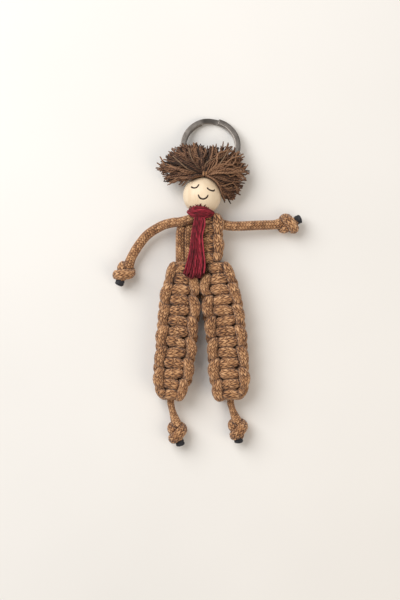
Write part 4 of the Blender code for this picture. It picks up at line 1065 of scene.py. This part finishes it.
def make_scarf_wrap():
    """Plied strands round the neck and wisps on them.  In front the strands fan out into a lens that is
    pointed at its two sides: a strand's height above the middle one is its share of the lens, times a
    power of the sine of the turn.  A strand is round, times one plus the plies' cosine."""
    around = turns(170)
    front = np.clip(np.sin(around), 0, 1)
    back = np.clip(-np.sin(around), 0, 1)
    outward = spokes(around, X_WAY, Z_WAY)
    ring = turns(14)
    draw = np.random.default_rng(5)
    skin = Skin()
    for offset in np.linspace(-1, 1, 12):
        phase, lift = draw.uniform(0, 6.28), draw.uniform(-0.25, 0.45)
        x = SCARF_X + (WRAP_WIDE + 0.3 * (1 - abs(offset))) * np.cos(around)
        y = (SCARF_Y - 0.3 * front + offset * (0.3 + 2.5 * front ** 1.9) - 0.8 * back
             - 0.35 * np.cos(around) + 0.30 * np.sin(2.0 * around + phase) * front)
        bulge = WRAP_FRONT + 1.2 * offset + lift + 0.3 * np.sin(3 * around + phase)
        line = np.column_stack([x, y, BEAD[2] + np.where(front > 0, bulge * front, -WRAP_BACK * back)])
        ahead = unit(np.roll(line, -1, axis=0) - np.roll(line, 1, axis=0))
        aside = unit(np.cross(ahead, outward))
        along = travelled(line) + 3 * phase
        plies = 1 + 0.14 * np.abs(np.cos(ring[None] + math.pi * along[:, None] / 7.0)) - 0.07
        size = SCARF_YARN * (0.5 + 0.5 * front)[:, None] * plies
        grid = line[:, None] + size[..., None] * spokes(ring, np.cross(aside, ahead), aside)
        skin.add(grid, along, draw.normal(0, 0.35), looped=True)
    for _ in range(30):
        turn = draw.uniform(0.9, 2.6)
        rise = math.sin(turn)
        root = np.array([SCARF_X + 6.4 * math.cos(turn), 37.3 + 2.7 * rise ** 2, BEAD[2] + 8.2 * rise])
        way = np.array([draw.normal(0, 0.6), draw.uniform(0.5, 2.0), draw.uniform(0.0, 0.6)])
        skin.add(*wisp(root, way, 0.25, 5, 0.15, 0.18), 0.3)
    skin.piece("scarf_wrap", SCARF, "torso", "burgundy_yarn", "scarf_band")


def make_scarf_tail():
    """Four layers of plied strands side by side.  A strand keeps its share of the bundle's width, which
    narrows below the neck and flares to a ragged end, longest in the middle.  It lies at its layer's
    height, plus a parabola of its share that crowns the bundle."""
    draw = np.random.default_rng(11)
    skin = Skin()
    for layer, count in enumerate(TAIL_LAYERS):
        for strand in range(count):
            share = np.clip((strand + 0.5) / count + draw.normal(0, 0.03), 0.04, 0.96)
            shorter = draw.uniform(0, 2.0) + 2.0 * (2 * share - 1) ** 2
            drift = np.cumsum(draw.normal(0, 0.12, len(TAIL_LEVELS)))
            x = TAIL_LEFT + (TAIL_RIGHT - TAIL_LEFT) * (0.05 + 0.90 * share) + drift
            crown = 1 - (2 * share - 1) ** 2
            z = (TAIL_RISE + TAIL_LAYER * layer + TAIL_CROWN * crown
                 + draw.normal(0, 0.14, len(TAIL_LEVELS)) - TAIL_SINKS)
            y = TAIL_LEVELS.copy()
            y[-1] += shorter
            line = evenly(smooth_path(np.column_stack([x, y, z]), 10), 0.45)
            size = TAIL_YARN * draw.uniform(0.8, 1.15) * np.interp(
                np.linspace(0, 1, len(line)), [0, 0.05, 0.9, 0.97, 1], [0.7, 1, 1.02, 0.95, 0.6])
            grid, along = round_tube(line, size, 8, 2, 0.16, 6.5)
            skin.add(grid, along + draw.uniform(0, 8), draw.normal(0, 0.4))
            for _ in range(2):
                way = np.array([draw.normal(0, 0.5), -draw.uniform(0.4, 1.5), draw.normal(0, 0.3)])
                skin.add(*wisp(line[-1] + (0, 0.5, 0), way, 0, 4, 0.25, 0.22))
    skin.piece("scarf_hang", SCARF, "scarf_end", "burgundy_yarn", "scarf_tail")


def make_stage():
    """A pale table, soft white light from the upper left, weaker warm light from the lower right, a dim
    studio round them and a camera straight above."""
    scene = bpy.context.scene
    half = 3.0
    mesh = bpy.data.meshes.new("table")
    corners = [(-half, -half, 0), (half, -half, 0), (half, half, 0), (-half, half, 0)]
    mesh.from_pydata(corners, [], [(0, 1, 2, 3)])
    table = bpy.data.objects.new("table", mesh)
    finish = Finish("table", Roughness=0.75)
    finish.colour(finish.noise(6.0, 3.0), [(0.3, (0.82, 0.80, 0.77)), (0.7, (0.86, 0.84, 0.81))])
    mesh.materials.append(finish.material)
    scene.collection.objects.link(table)
    table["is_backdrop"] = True
    world = bpy.data.worlds.new("studio")
    world.use_nodes = True
    studio = Nodes(world.node_tree)
    sky = studio.tree.nodes["Background"]
    sky.inputs["Color"].default_value = (1.0, 0.985, 0.96, 1)
    seen = studio.node("ShaderNodeLightPath").outputs["Is Camera Ray"]
    strength = studio.node("ShaderNodeMix", {0: seen, 2: 0.38, 3: 0.95})
    studio.fill(sky.inputs["Strength"], strength.outputs[0])
    scene.world = world
    for name, place, size, power, colour in (
        ("key", (-0.50, 0.46, 0.70), 0.80, 9.2, (1.0, 1.0, 1.0)),
        ("fill", (0.55, -0.35, 0.7), 0.6, 2.4, (1.0, 0.85, 0.68)),
    ):
        lamp = bpy.data.lights.new(name, "AREA")
        lamp.size = size
        lamp.energy = power
        lamp.color = colour
        item = bpy.data.objects.new(name, lamp)
        item.location = place
        item.rotation_euler = (-Vector(place)).to_track_quat("-Z", "Y").to_euler()
        scene.collection.objects.link(item)
    view = bpy.data.cameras.new("camera")
    view.sensor_fit = "VERTICAL"
    view.sensor_height = 36.0
    distance = 0.9
    view.lens = view.sensor_height * distance / FRAME_HEIGHT
    camera = bpy.data.objects.new("camera", view)
    camera.location = (
        FRAME_CENTRE[0] + SHIFT[0] * MM, FRAME_CENTRE[1] + SHIFT[1] * MM, 0.8 * BEAD[2] * MM + distance)
    scene.collection.objects.link(camera)
    scene.camera = camera
    scene.view_settings.view_transform = "Standard"


CORD_TONES = [
    (0.05, (0.045, 0.015, 0.006)), (0.28, (0.148, 0.057, 0.020)), (0.50, (0.341, 0.156, 0.062)),
    (0.70, (0.495, 0.255, 0.112)), (0.95, (0.693, 0.403, 0.204)),
]
CORD = knitted_finish("tan_cord", CORD_TONES)
THIN_CORD = yarn_finish("thin_cord", CORD_TONES, 3.0, 2.2, 0.4, 0.2)
HAIR = yarn_finish("dark_yarn", [
    (0.10, (0.015, 0.006, 0.002)), (0.40, (0.061, 0.026, 0.014)), (0.70, (0.163, 0.075, 0.039)),
    (0.95, (0.306, 0.159, 0.084))], 2.0, 2.8, 0.45, 0.04)
LOOSE_HAIR = yarn_finish("loose_yarn", [
    (0.15, (0.076, 0.039, 0.020)), (0.50, (0.187, 0.109, 0.061)), (0.90, (0.306, 0.195, 0.116))],
    2.0, 2.4, 0.35, 0.04)
SCARF = yarn_finish("burgundy_yarn", [
    (0.10, (0.030, 0.001, 0.002)), (0.40, (0.101, 0.002, 0.007)), (0.70, (0.217, 0.006, 0.018)),
    (0.95, (0.403, 0.030, 0.052))], 2.0, 9.0, 0.34, 0.05)
WOOD = wood_finish()
STEEL = steel_finish()
INK = plain_finish("drawn_line", (0.024, 0.010, 0.006), (0.042, 0.018, 0.010), 0.7, 900.0, 0.02)
SEAL = plain_finish("black_seal", (0.004, 0.004, 0.007), (0.014, 0.015, 0.022), 0.50, 1500.0, 0.25)

make_bead()
make_face()
make_ring()
make_loop()
make_hair()
make_hair_tie()
make_scarf_wrap()
make_scarf_tail()
make_torso()
for side, (route, hand, tip_turned) in ARMS.items():
    make_limb(f"{side}_arm", f"{side}_arm_cord", f"{side}_hand_tip", route, ARM, ARM_FULL, hand, tip_turned)
for side, leg in LEGS.items():
    make_leg(side, leg)
make_stage()

low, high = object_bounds()
